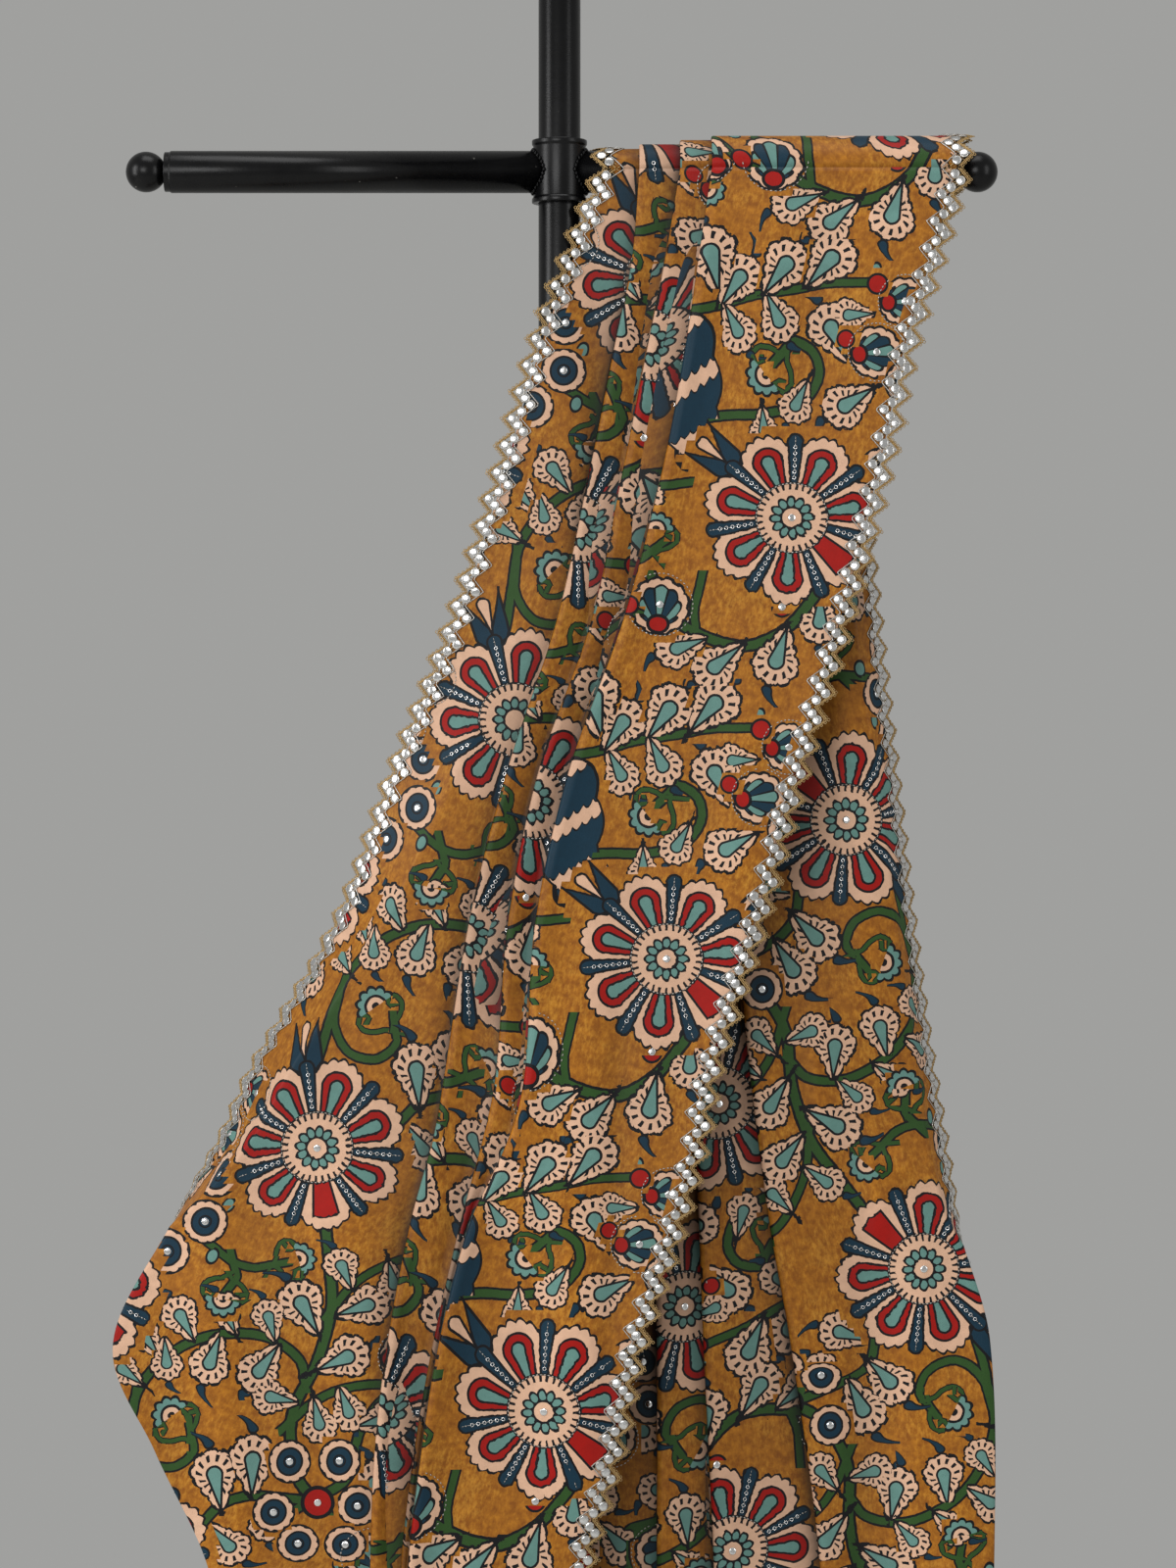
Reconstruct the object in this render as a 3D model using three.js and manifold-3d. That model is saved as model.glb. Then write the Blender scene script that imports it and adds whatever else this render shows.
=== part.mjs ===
// A printed silk saree hung over one arm of a T-shaped display stand.
// Millimetres, +Z up. The origin is the middle of the base's underside, the arms run along X,
// and the front of the saree looks towards -Y.
import * as THREE from "three";
import { mergeVertices } from "three/addons/utils/BufferGeometryUtils.js";
import Module from "manifold-3d";

const wasm = await Module();
wasm.setup();

// Stand
const BAR_HEIGHT = 1420; // axis of the two arms above the floor
const TUBE_RADIUS = 14;
const TUBE_SIDES = 24;
const POST_ABOVE_BAR = 180;
const COLLAR = { radius: 17.5, rimRadius: 18.4, rimHeight: 3, height: 42 };
const SADDLE_GAP = 0.3; // between pieces that meet
const ARM = { left: -259, right: 262, spigot: 4.5, spigotRadius: 13.2 };
const BALL = { radius: 13.5, fromArmEnd: 16.6, neckRadius: 6 };
const BASE = { radius: 190, thickness: 10, edge: 3, hubRadius: 24, hubHeight: 16 };

// Cloth
const WALL = 1.1;
const SEAM_GAP = 0.3;
const OVER_STEPS = 8; // flats of the cloth's turn over the arm
const OVER_TUBE = (TUBE_RADIUS + SEAM_GAP) / Math.cos(Math.PI / 2 / OVER_STEPS) + WALL / 2;
const FRONT_HEM = 1360; // below the arms' axis
const BACK_HEM = 1260;
const TURNED_TOP = 70;
const EDGE_STRAIGHT = 17; // flat margin that carries a lace border
const LIP_RADIUS = 1.3; // of a border that is turned under
const RAMP_SLOPE = 0.35; // the top strip comes down past the tucks this steeply

// Lace border
const LACE = { thickness: 1, halfBand: 7, zigzag: 4.5, pitch: 18.5 };

// Front stretch, by height below the arms' axis. Left, fold and right are X of the outline, of
// the edges of the three knife pleats and of the right border. Curl is how far the left border
// is turned under, in degrees, and each tuck is the depth hidden under its pleat.
const FRONT_COLUMNS = [
  "drop", "left", "curl", "fold1", "fold2", "fold3", "right", "tuck1", "tuck2", "tuck3", "layer", "out",
];
const FRONT = [
  [0, 33, 0, 53, 80, 101, 263, 150, 152, 146, 1.4, 0],
  [60, 9, 0, 48, 70, 92, 246, 150, 146, 136, 1.5, 0],
  [120, -13, 0, 36, 58, 83, 228, 150, 145, 126, 1.8, 0],
  [200, -36, 0, 20, 42, 68, 211, 152, 145, 122, 2.2, 0],
  [300, -67, 0, -2, 21, 42, 185, 155, 143, 124, 2.6, 1],
  [400, -107, 0, -35, -14, 6, 155, 158, 145, 128, 3, 2],
  [500, -146, 0, -60, -34, -16, 128, 158, 140, 124, 3, 4],
  [600, -204, 0, -76, -42, -23, 97, 145, 118, 100, 3, 6],
  [640, -222, 0, -83, -50, -33, 90, 145, 118, 102, 3, 7],
  [700, -257, 90, -99, -66, -60, 74, 148, 120, 114, 3, 9],
  [780, -295, 180, -114, -84, -80, 48, 140, 112, 106, 3, 10],
  [850, -267, 180, -122, -96, -91, 33, 134, 108, 100, 3, 9],
  [930, -231, 180, -125, -105, -100, 12, 122, 98, 92, 3, 7],
  [1050, -214, 180, -127, -109, -104, 5, 118, 98, 90, 3, 5],
  [1200, -208, 180, -128, -111, -106, 2, 116, 98, 90, 3, 4],
  [FRONT_HEM, -205, 180, -128, -112, -107, 0, 115, 98, 90, 3, 4],
];

// Back stretch, face away from the front. Out is how far it stands off the arm.
const BACK_COLUMNS = [
  "drop", "left", "fold1", "fold2", "fold3", "right", "tuck1", "tuck2", "tuck3", "layer", "out",
];
const BACK = [
  [0, 33, 53, 80, 101, 263, 150, 152, 146, 1.4, 0],
  [60, 26, 52, 80, 104, 240, 130, 128, 112, 1.5, 7.5],
  [120, 22, 54, 84, 112, 221, 105, 104, 84, 1.8, 14.5],
  [240, 19, 58, 94, 130, 199, 74, 72, 48, 2.2, 14.5],
  [400, 17, 62, 108, 152, 214, 56, 54, 42, 2.4, 14.5],
  [560, 14, 67, 118, 170, 230, 50, 50, 42, 2.4, 14.5],
  [780, 12, 75, 132, 190, 256, 46, 46, 42, 2.4, 14.5],
  [930, 12, 78, 138, 196, 264, 46, 46, 44, 2.4, 14.5],
  [1100, 12, 80, 140, 196, 260, 46, 46, 44, 2.4, 14.5],
  [BACK_HEM, 12, 80, 140, 196, 257, 46, 46, 44, 2.4, 14.5],
];

// Turned stretch: the left part of the back stretch, folded round so that its face looks to
// the front and its border hangs at the right. Curl is for the right border.
const TURNED_COLUMNS = [
  "drop", "left", "fold1", "fold2", "fold3", "right", "curl", "tuck1", "tuck2", "tuck3", "layer",
];
const TURNED = [
  [TURNED_TOP, 29, 45, 63, 97, 188, 0, 14, 16, 18, 1.4],
  [160, 29, 48, 68, 102, 200, 0, 18, 22, 28, 1.6],
  [240, 31, 51, 73, 107, 205, 0, 24, 28, 36, 1.8],
  [400, 27, 55, 79, 113, 223, 0, 32, 34, 44, 2],
  [560, 24, 59, 86, 123, 243, 0, 38, 40, 48, 2],
  [700, 22, 63, 93, 140, 266, 0, 40, 42, 50, 2],
  [780, 21, 65, 96, 154, 288, 180, 40, 42, 50, 2],
  [930, 21, 65, 103, 174, 291, 180, 40, 42, 50, 2],
  [1100, 20, 66, 107, 181, 284, 180, 40, 42, 50, 2],
  [BACK_HEM, 20, 66, 109, 185, 279, 180, 40, 42, 50, 2],
];
const FRONT_LIP = 45; // width of the border that the front stretch turns under
const TURNED_LIP = 22;
const TURNED_BEHIND = WALL + 0.4; // from the back stretch's inner layer to the turned one

const material = (name, color, roughness, metalness = 0) =>
  new THREE.MeshStandardMaterial({ name, color, roughness, metalness });
const SILK = material("printed_silk", 0xa8702c, 0.45);
const LACE_GOLD = material("mirror_lace", 0xc9c3b4, 0.3, 0.6);
const BLACK_PAINT = material("black_gloss_paint", 0x101012, 0.3, 0.4);

const root = new THREE.Group();
const addMesh = (name, geometry, finish) => {
  const mesh = new THREE.Mesh(geometry, finish);
  mesh.name = name;
  root.add(mesh);
  return mesh;
};

// A smooth curve through one column of a table, read at any drop.
function columnAt(columns, rows, name, drop) {
  const c = columns.indexOf(name);
  const last = rows.length - 1;
  const knot = (i) => rows[Math.min(Math.max(i, 0), last)];
  let i = 0;
  while (i < last - 1 && rows[i + 1][0] < drop) i += 1;
  const slope = (k) => (knot(k + 1)[c] - knot(k - 1)[c]) / (knot(k + 1)[0] - knot(k - 1)[0]);
  const span = rows[i + 1][0] - rows[i][0];
  const t = Math.min(Math.max((drop - rows[i][0]) / span, 0), 1);
  const t2 = t * t;
  const t3 = t2 * t;
  return (
    (2 * t3 - 3 * t2 + 1) * rows[i][c] +
    (t3 - 2 * t2 + t) * span * slope(i) +
    (3 * t2 - 2 * t3) * rows[i + 1][c] +
    (t3 - t2) * span * slope(i + 1)
  );
}
const rowAt = (columns, rows, drop) =>
  Object.fromEntries(columns.map((name) => [name, columnAt(columns, rows, name, drop)]));

// The border that is turned under, seen along the cloth's length. From its free end it runs
// straight, then round the curl, and ends level and pointing to +X at the first point returned.
function lipPoints(edge, length, curlDegrees, side) {
  const curl = THREE.MathUtils.degToRad(Math.min(Math.max(curlDegrees, 0), 180));
  const straight = length - LIP_RADIUS * curl;
  const reach = curl < Math.PI / 2
    ? LIP_RADIUS * Math.sin(curl) + straight * Math.cos(curl)
    : LIP_RADIUS;
  const level = edge + side * reach; // where the strip is level again
  const at = (turn, along) => ({
    x: level - side * (LIP_RADIUS * Math.sin(turn) + along * Math.cos(turn)),
    h: LIP_RADIUS * (Math.cos(turn) - 1) - along * Math.sin(turn),
    nx: -side * Math.sin(turn),
    nh: Math.cos(turn),
  });
  return [
    at(curl, straight),
    at(curl, straight - EDGE_STRAIGHT),
    at(curl, 0),
    at(curl / 2, 0),
    at(0, 0),
  ];
}

// One cross-section of a pleated stretch: points along its middle surface, with x across, h
// out from the stand, and the normal of its printed face.
function pleatedSection(row, lipLeft = 0, lipRight = 0) {
  const layer = row.layer;
  const points = [];
  const put = (x, h, nx, nh) => points.push({ x, h, nx, nh });
  const run = (x0, x1, h0, h1, n, facing) => {
    for (let k = 1; k < n; k++) {
      put(x0 + ((x1 - x0) * k) / n, h0 + ((h1 - h0) * k) / n, 0, facing);
    }
  };
  const bend = (x, h, side, facing) => {
    for (const turn of [-1, 0, 1]) {
      const angle = (turn * Math.PI) / 2;
      const cos = Math.cos(angle) * side;
      const sin = Math.sin(angle);
      put(x + (cos * layer) / 2, h + (sin * layer) / 2, facing * cos, facing * sin);
    }
  };
  const inset = layer / 2 + WALL / 2; // from a fold's outer edge to the centre of its bend
  let start = row.left;
  if (lipLeft) {
    const lip = lipPoints(row.left, lipLeft, row.curlLeft, 1);
    points.push(...lip);
    start = lip[lip.length - 1].x;
  } else {
    put(start, 0, 0, 1);
    put(start + EDGE_STRAIGHT / 2, 0, 0, 1);
  }
  let x = points[points.length - 1].x;
  for (let k = 1; k <= 3; k++) {
    const level = (2 * k - 2) * layer;
    const fold = row["fold" + k] + inset;
    const inner = row["fold" + k] + row["tuck" + k] - inset;
    run(x, inner, level, level, k === 1 ? 4 : 3, 1);
    bend(inner, level + layer / 2, 1, -1);
    run(inner, fold, level + layer, level + layer, 2, -1);
    bend(fold, level + 1.5 * layer, -1, 1);
    x = fold;
  }
  const top = 6 * layer;
  const deepest = Math.max(row.fold1 + row.tuck1, row.fold2 + row.tuck2, row.fold3 + row.tuck3);
  const margin = row.right - EDGE_STRAIGHT;
  const rampStart = Math.min(deepest + 4, margin - 8);
  const fall = lipRight ? 0 : Math.min(Math.max(RAMP_SLOPE * (margin - deepest - 4), 0), 5 * layer);
  if (lipRight) {
    const lip = lipPoints(row.right, lipRight, row.curlRight, -1).reverse();
    run(x, lip[0].x, top, top, 5, 1);
    for (const p of lip) put(p.x, p.h + top, p.nx, p.nh);
  } else {
    run(x, rampStart, top, top, 3, 1);
    put(rampStart, top, 0, 1);
    put(margin, top - fall, 0, 1);
    put(row.right, top - fall, 0, 1);
  }
  return points;
}

// Section points to points in space, by a function that gives the place of (x, h).
const placed = (section, place) =>
  section.map((p) => {
    const middle = place(p.x, p.h);
    const tip = place(p.x + p.nx, p.h + p.nh);
    return { middle, normal: tip.sub(middle).normalize() };
  });

const frontPlace = (drop, out) => (x, h) =>
  new THREE.Vector3(x, -(OVER_TUBE + out + h), BAR_HEIGHT - drop);
const backPlace = (drop, out) => (x, h) =>
  new THREE.Vector3(x, OVER_TUBE + out + h, BAR_HEIGHT - drop);
const turnedPlace = (drop, out) => (x, h) =>
  new THREE.Vector3(x, OVER_TUBE + out - TURNED_BEHIND - h, BAR_HEIGHT - drop);
const overPlace = (angle) => (x, h) =>
  new THREE.Vector3(
    x,
    -(OVER_TUBE + h) * Math.cos(angle),
    BAR_HEIGHT + (OVER_TUBE + h) * Math.sin(angle),
  );

// A closed wall over rows of placed points, each row having the same number of them.
function wallGeometry(rows, thickness) {
  const across = rows[0].length;
  const positions = [];
  for (const half of [thickness / 2, -thickness / 2]) {
    for (const row of rows) {
      for (const p of row) {
        positions.push(...p.middle.clone().addScaledVector(p.normal, half).toArray());
      }
    }
  }
  const layerSize = rows.length * across;
  const face = (i, j) => i * across + j;
  const back = (i, j) => layerSize + i * across + j;
  const index = [];
  const quad = (a, b, c, d) => index.push(a, b, c, a, c, d);
  for (let i = 0; i < rows.length - 1; i++) {
    for (let j = 0; j < across - 1; j++) {
      quad(face(i, j), face(i + 1, j), face(i + 1, j + 1), face(i, j + 1));
      quad(back(i, j), back(i, j + 1), back(i + 1, j + 1), back(i + 1, j));
    }
    quad(face(i, 0), back(i, 0), back(i + 1, 0), face(i + 1, 0));
    quad(face(i, across - 1), face(i + 1, across - 1), back(i + 1, across - 1), back(i, across - 1));
  }
  const last = rows.length - 1;
  for (let j = 0; j < across - 1; j++) {
    quad(face(0, j), face(0, j + 1), back(0, j + 1), back(0, j));
    quad(face(last, j), back(last, j), back(last, j + 1), face(last, j + 1));
  }
  const geometry = new THREE.BufferGeometry();
  geometry.setAttribute("position", new THREE.Float32BufferAttribute(positions, 3));
  geometry.setIndex(index);
  return geometry;
}

// The same wall with its faces the other way round, for stretches whose rows run upwards or
// whose sections look the other way.
function flipped(geometry) {
  const index = geometry.getIndex();
  for (let i = 0; i < index.count; i += 3) {
    const b = index.getX(i + 1);
    index.setX(i + 1, index.getX(i + 2));
    index.setX(i + 2, b);
  }
  return geometry;
}

const steps = (from, to, count) =>
  Array.from({ length: count + 1 }, (_, i) => from + ((to - from) * i) / count);
const LIP_TURNS = { front: [640, 780], turned: [700, 780] };
const frontDrops = [
  ...steps(SEAM_GAP, LIP_TURNS.front[0], 11),
  ...steps(...LIP_TURNS.front, 6).slice(1),
  ...steps(LIP_TURNS.front[1], FRONT_HEM, 7).slice(1),
];
const turnedDrops = [
  ...steps(TURNED_TOP, LIP_TURNS.turned[0], 8),
  ...steps(...LIP_TURNS.turned, 4).slice(1),
  ...steps(LIP_TURNS.turned[1], BACK_HEM, 6).slice(1),
];
const backDrops = [SEAM_GAP, 35, ...turnedDrops.filter((d) => d < 701 || d > 779)];
const overAngles = steps(0, Math.PI, OVER_STEPS);

const frontRows = frontDrops.map((drop) => {
  const row = rowAt(FRONT_COLUMNS, FRONT, drop);
  row.curlLeft = row.curl;
  return placed(pleatedSection(row, FRONT_LIP), frontPlace(drop, row.out));
});
const backOut = (drop) => columnAt(BACK_COLUMNS, BACK, "out", drop);
const backRows = backDrops.map((drop) => {
  const row = rowAt(BACK_COLUMNS, BACK, drop);
  return placed(pleatedSection(row), backPlace(drop, row.out));
});
const turnedRows = turnedDrops.map((drop) => {
  const row = rowAt(TURNED_COLUMNS, TURNED, drop);
  row.curlRight = row.curl;
  return placed(pleatedSection(row, 0, TURNED_LIP), turnedPlace(drop, backOut(drop)));
});
const overRow = rowAt(BACK_COLUMNS, BACK, 0);
const overRows = overAngles.map((angle) => placed(pleatedSection(overRow), overPlace(angle)));

addMesh("saree_front_stretch", wallGeometry(frontRows, WALL), SILK);
addMesh("saree_over_bar_stretch", flipped(wallGeometry(overRows, WALL)), SILK);
addMesh("saree_back_stretch", flipped(wallGeometry(backRows, WALL)), SILK);
addMesh("saree_turned_stretch", wallGeometry(turnedRows, WALL), SILK);

// A zigzag band laid on the face of a stretch along one border, made from the stretch's own
// points. Side is -1 for the border at the start of each row and 1 for the one at its end.
function laceRows(rows, side) {
  const spine = rows.map((row) => {
    const edge = side > 0 ? row[row.length - 1] : row[0];
    const next = side > 0 ? row[row.length - 2] : row[1];
    return {
      edge: edge.middle,
      outward: edge.middle.clone().sub(next.middle).normalize(),
      normal: edge.normal,
    };
  });
  const out = [];
  let tooth = 1;
  let carried = 0;
  for (let i = 0; i < spine.length - 1; i++) {
    const a = spine[i];
    const b = spine[i + 1];
    const length = a.edge.distanceTo(b.edge);
    const twist = a.normal.distanceTo(b.normal) + a.outward.distanceTo(b.outward);
    const count = Math.max(1, Math.round((length + carried) / (LACE.pitch / 2)));
    carried += length - (count * LACE.pitch) / 2;
    for (let k = i ? 1 : 0; k <= count; k++) {
      const f = k / count;
      const edge = a.edge.clone().lerp(b.edge, f);
      const outward = a.outward.clone().lerp(b.outward, f).normalize();
      const normal = a.normal.clone().lerp(b.normal, f).normalize();
      const bow = 4 * f * (1 - f) * (twist * EDGE_STRAIGHT) / 4;
      const lift = WALL / 2 + SEAM_GAP + LACE.thickness / 2 + bow;
      const centre = edge.addScaledVector(normal, lift).addScaledVector(outward, tooth * LACE.zigzag);
      const inner = centre.clone().addScaledVector(outward, -LACE.halfBand);
      const outer = centre.clone().addScaledVector(outward, LACE.halfBand);
      out.push((side > 0 ? [inner, outer] : [outer, inner]).map((middle) => ({ middle, normal })));
      tooth = -tooth;
    }
  }
  return out;
}
const addLace = (name, rows, side, turn = (g) => g) =>
  addMesh(name, turn(wallGeometry(laceRows(rows, side), LACE.thickness)), LACE_GOLD);
addLace("lace_front_left", frontRows, -1);
addLace("lace_front_right", frontRows, 1);
addLace("lace_over_bar_left", overRows, -1, flipped);
addLace("lace_over_bar_right", overRows, 1, flipped);
addLace("lace_turned_right", turnedRows, 1);
addLace("lace_back_right", backRows, 1, flipped);

// Stand pieces
const latheAt = (profile, sides = TUBE_SIDES) =>
  new THREE.LatheGeometry(profile.map(([r, z]) => new THREE.Vector2(r, z)), sides)
    .rotateX(Math.PI / 2);
const arc = (centre, radius, from, to, count) =>
  steps(from, to, count).map((a) => [radius * Math.cos(a), centre + radius * Math.sin(a)]);

addMesh("stand_base", latheAt([
  [0, 0],
  [BASE.radius - BASE.edge, 0],
  [BASE.radius, BASE.edge],
  [BASE.radius, BASE.thickness - BASE.edge],
  [BASE.radius - BASE.edge, BASE.thickness],
  [BASE.hubRadius, BASE.thickness],
  [BASE.hubRadius - 4, BASE.hubHeight],
  [0, BASE.hubHeight],
], 40), BLACK_PAINT);

const postTop = BAR_HEIGHT + POST_ABOVE_BAR;
const postFoot = BASE.hubHeight + SADDLE_GAP;
addMesh("stand_post", latheAt([
  [0, postFoot],
  [TUBE_RADIUS, postFoot],
  [TUBE_RADIUS, postTop],
  [0, postTop],
]), BLACK_PAINT);

const collarFoot = BAR_HEIGHT - COLLAR.height / 2;
const collarTop = BAR_HEIGHT + COLLAR.height / 2;
addMesh("stand_collar", latheAt([
  [TUBE_RADIUS + SADDLE_GAP, collarFoot],
  [COLLAR.rimRadius, collarFoot],
  [COLLAR.rimRadius, collarFoot + COLLAR.rimHeight],
  [COLLAR.radius, collarFoot + COLLAR.rimHeight + 1],
  [COLLAR.radius, collarTop - COLLAR.rimHeight - 1],
  [COLLAR.rimRadius, collarTop - COLLAR.rimHeight],
  [COLLAR.rimRadius, collarTop],
  [TUBE_RADIUS + SADDLE_GAP, collarTop],
  [TUBE_RADIUS + SADDLE_GAP, collarFoot],
]), BLACK_PAINT);

const solidOf = (geometry) => {
  const bare = geometry.clone();
  bare.deleteAttribute("normal");
  bare.deleteAttribute("uv");
  const merged = mergeVertices(bare, 1e-3);
  return new wasm.Manifold(new wasm.Mesh({
    numProp: 3,
    vertProperties: new Float32Array(merged.attributes.position.array),
    triVerts: new Uint32Array(merged.index.array),
  }));
};
const geometryOf = (solid) => {
  const mesh = solid.getMesh();
  const geometry = new THREE.BufferGeometry();
  geometry.setAttribute("position", new THREE.BufferAttribute(mesh.vertProperties, 3));
  geometry.setIndex(new THREE.BufferAttribute(mesh.triVerts, 1));
  return geometry;
};

// An arm is a tube whose inner end is cut to the collar's round side.
const collarCut = solidOf(
  new THREE.CylinderGeometry(COLLAR.radius + SADDLE_GAP, COLLAR.radius + SADDLE_GAP, 60, TUBE_SIDES)
    .rotateX(Math.PI / 2)
    .translate(0, 0, BAR_HEIGHT),
);
for (const [side, end] of [["left", ARM.left], ["right", ARM.right]]) {
  const sign = Math.sign(end);
  const length = Math.abs(end);
  const tube = latheAt([
    [0, 0],
    [TUBE_RADIUS, 0],
    [TUBE_RADIUS, length],
    [ARM.spigotRadius, length],
    [ARM.spigotRadius, length + ARM.spigot - SADDLE_GAP],
    [0, length + ARM.spigot - SADDLE_GAP],
  ]).rotateY((sign * Math.PI) / 2).translate(0, 0, BAR_HEIGHT);
  addMesh("stand_arm_" + side, geometryOf(solidOf(tube).subtract(collarCut)), BLACK_PAINT);
  const ballCentre = length + BALL.fromArmEnd;
  const ball = latheAt([
    [0, length + ARM.spigot],
    [BALL.neckRadius, length + ARM.spigot],
    ...arc(ballCentre, BALL.radius, -1.1, 1.5, 7),
    [0, ballCentre + BALL.radius],
  ]).rotateY((sign * Math.PI) / 2).translate(0, 0, BAR_HEIGHT);
  addMesh("stand_ball_" + side, ball, BLACK_PAINT);
}
addMesh("stand_ball_top", latheAt([
  [0, postTop + SADDLE_GAP],
  [BALL.neckRadius, postTop + SADDLE_GAP],
  ...arc(postTop + BALL.radius, BALL.radius, -1.1, 1.5, 7),
  [0, postTop + 2 * BALL.radius],
]), BLACK_PAINT);

export default root;
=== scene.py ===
"""A printed silk saree hung over one arm of a T-shaped display stand.

Each stretch of cloth is drawn again from the same table of outline and folds as its solid,
much finer, with its listed creases laid on. Every point of it knows its place on the flat
cloth, and the print, the stitches and the sequins all go by that place. Millimetres up to
the making of each mesh, metres from there on.
"""
import math

import bpy
import numpy as np
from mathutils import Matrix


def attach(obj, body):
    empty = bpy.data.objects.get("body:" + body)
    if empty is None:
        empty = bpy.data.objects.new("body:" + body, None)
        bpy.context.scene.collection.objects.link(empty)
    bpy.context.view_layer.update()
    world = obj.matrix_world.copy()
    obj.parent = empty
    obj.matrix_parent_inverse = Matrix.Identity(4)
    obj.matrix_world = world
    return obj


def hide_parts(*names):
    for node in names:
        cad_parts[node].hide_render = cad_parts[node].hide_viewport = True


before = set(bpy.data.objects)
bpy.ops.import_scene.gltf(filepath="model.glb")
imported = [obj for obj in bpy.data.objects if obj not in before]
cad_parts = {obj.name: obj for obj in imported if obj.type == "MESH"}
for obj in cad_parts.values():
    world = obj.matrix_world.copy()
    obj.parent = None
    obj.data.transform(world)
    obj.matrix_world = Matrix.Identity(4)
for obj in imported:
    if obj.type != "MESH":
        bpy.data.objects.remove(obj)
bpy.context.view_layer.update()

MM = 0.001
SEED = 7
PAINT_SLOT = "black_gloss_paint"
LACE_SLOT = "mirror_lace"
SILK_SLOT = "printed_silk"

# Stand, as in the solids. A turned part starts a hair off its axis.
BAR_HEIGHT = 1420.0
TUBE_RADIUS = 14.0
POST_TOP = 1600.0
COLLAR_RADIUS = 17.5
COLLAR_RIM = 18.4
COLLAR_HALF = 21.0
ARM_ENDS = {"left": -259.0, "right": 262.0}
SPIGOT = 4.5
SPIGOT_RADIUS = 13.2
BALL_RADIUS = 13.5
BALL_FROM_END = 16.6
BALL_NECK = 6.0
TUBE_BORE = 12.5
END_GAP = 0.3
AXIS = 0.01
BASE_RADIUS = 190.0
BASE_THICKNESS = 10.0
HUB_RADIUS = 24.0
HUB_HEIGHT = 16.0

# Cloth: its thin shell here, and half of its thicker solid, which clears the tube a little.
CLOTH_THICK = 0.9
CLOTH_HALF = 0.55
TUBE_CLEAR = 0.3
OVER_TUBE = (TUBE_RADIUS + TUBE_CLEAR) / math.cos(math.pi / 16) + CLOTH_HALF
FRONT_HEM = 1360.0
BACK_HEM = 1260.0
TURNED_TOP = 70.0
MARGIN = 17.0
LIP_RADIUS = 1.3
RAMP_SLOPE = 0.35
# How far a strip goes on under its fold, and the least of a strip and of a tuck.
UNDER_FOLD = 5.0
LEAST_STRIP = 4.0
LEAST_TUCK = 8.0
FOLD_PUFF = 6.0
FRONT_LIP = 45.0
TURNED_LIP = 22.0
TURNED_BEHIND = 1.5
CLOTH_WIDTH = 1120.0

# The print's repeat, and where its two flowers stand in it.
TILE_ACROSS = 373.0
TILE_ALONG = 305.0
FIRST_FLOWER = 52.0
SECOND_FLOWER = 321.0

FRONT_COLUMNS = "drop left curl fold1 fold2 fold3 right tuck1 tuck2 tuck3 layer out".split()
FRONT = np.array([
    [0, 33, 0, 53, 80, 101, 263, 150, 152, 146, 1.4, 0],
    [60, 9, 0, 48, 70, 92, 246, 150, 146, 136, 1.5, 0],
    [120, -13, 0, 36, 58, 83, 228, 150, 145, 126, 1.8, 0],
    [200, -36, 0, 20, 42, 68, 211, 152, 145, 122, 2.2, 0],
    [300, -67, 8, -2, 21, 42, 185, 155, 143, 124, 2.6, 1],
    [400, -107, 26, -35, -14, 6, 155, 158, 145, 128, 3, 2],
    [500, -146, 46, -60, -34, -16, 128, 158, 140, 124, 3, 4],
    [600, -204, 56, -76, -42, -23, 97, 145, 118, 100, 3, 6],
    [640, -222, 62, -83, -50, -33, 90, 145, 118, 102, 3, 7],
    [700, -257, 90, -99, -66, -60, 74, 148, 120, 114, 3, 9],
    [780, -295, 180, -114, -84, -80, 48, 140, 112, 106, 3, 10],
    [850, -267, 180, -122, -96, -91, 33, 134, 108, 100, 3, 9],
    [930, -231, 180, -125, -105, -100, 12, 122, 98, 92, 3, 7],
    [1050, -214, 180, -127, -109, -104, 5, 118, 98, 90, 3, 5],
    [1200, -208, 180, -128, -111, -106, 2, 116, 98, 90, 3, 4],
    [1360, -205, 180, -128, -112, -107, 0, 115, 98, 90, 3, 4],
], float)

BACK_COLUMNS = "drop left fold1 fold2 fold3 right tuck1 tuck2 tuck3 layer out".split()
BACK = np.array([
    [0, 33, 53, 80, 101, 263, 150, 152, 146, 1.4, 0],
    [60, 26, 52, 80, 104, 240, 130, 128, 112, 1.5, 7.5],
    [120, 22, 54, 84, 112, 221, 105, 104, 84, 1.8, 14.5],
    [240, 19, 58, 94, 130, 199, 74, 72, 48, 2.2, 14.5],
    [400, 17, 62, 108, 152, 214, 56, 54, 42, 2.4, 14.5],
    [560, 14, 67, 118, 170, 230, 50, 50, 42, 2.4, 14.5],
    [780, 12, 75, 132, 190, 256, 46, 46, 42, 2.4, 14.5],
    [930, 12, 78, 138, 196, 264, 46, 46, 44, 2.4, 14.5],
    [1100, 12, 80, 140, 196, 260, 46, 46, 44, 2.4, 14.5],
    [1260, 12, 80, 140, 196, 257, 46, 46, 44, 2.4, 14.5],
], float)

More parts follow.
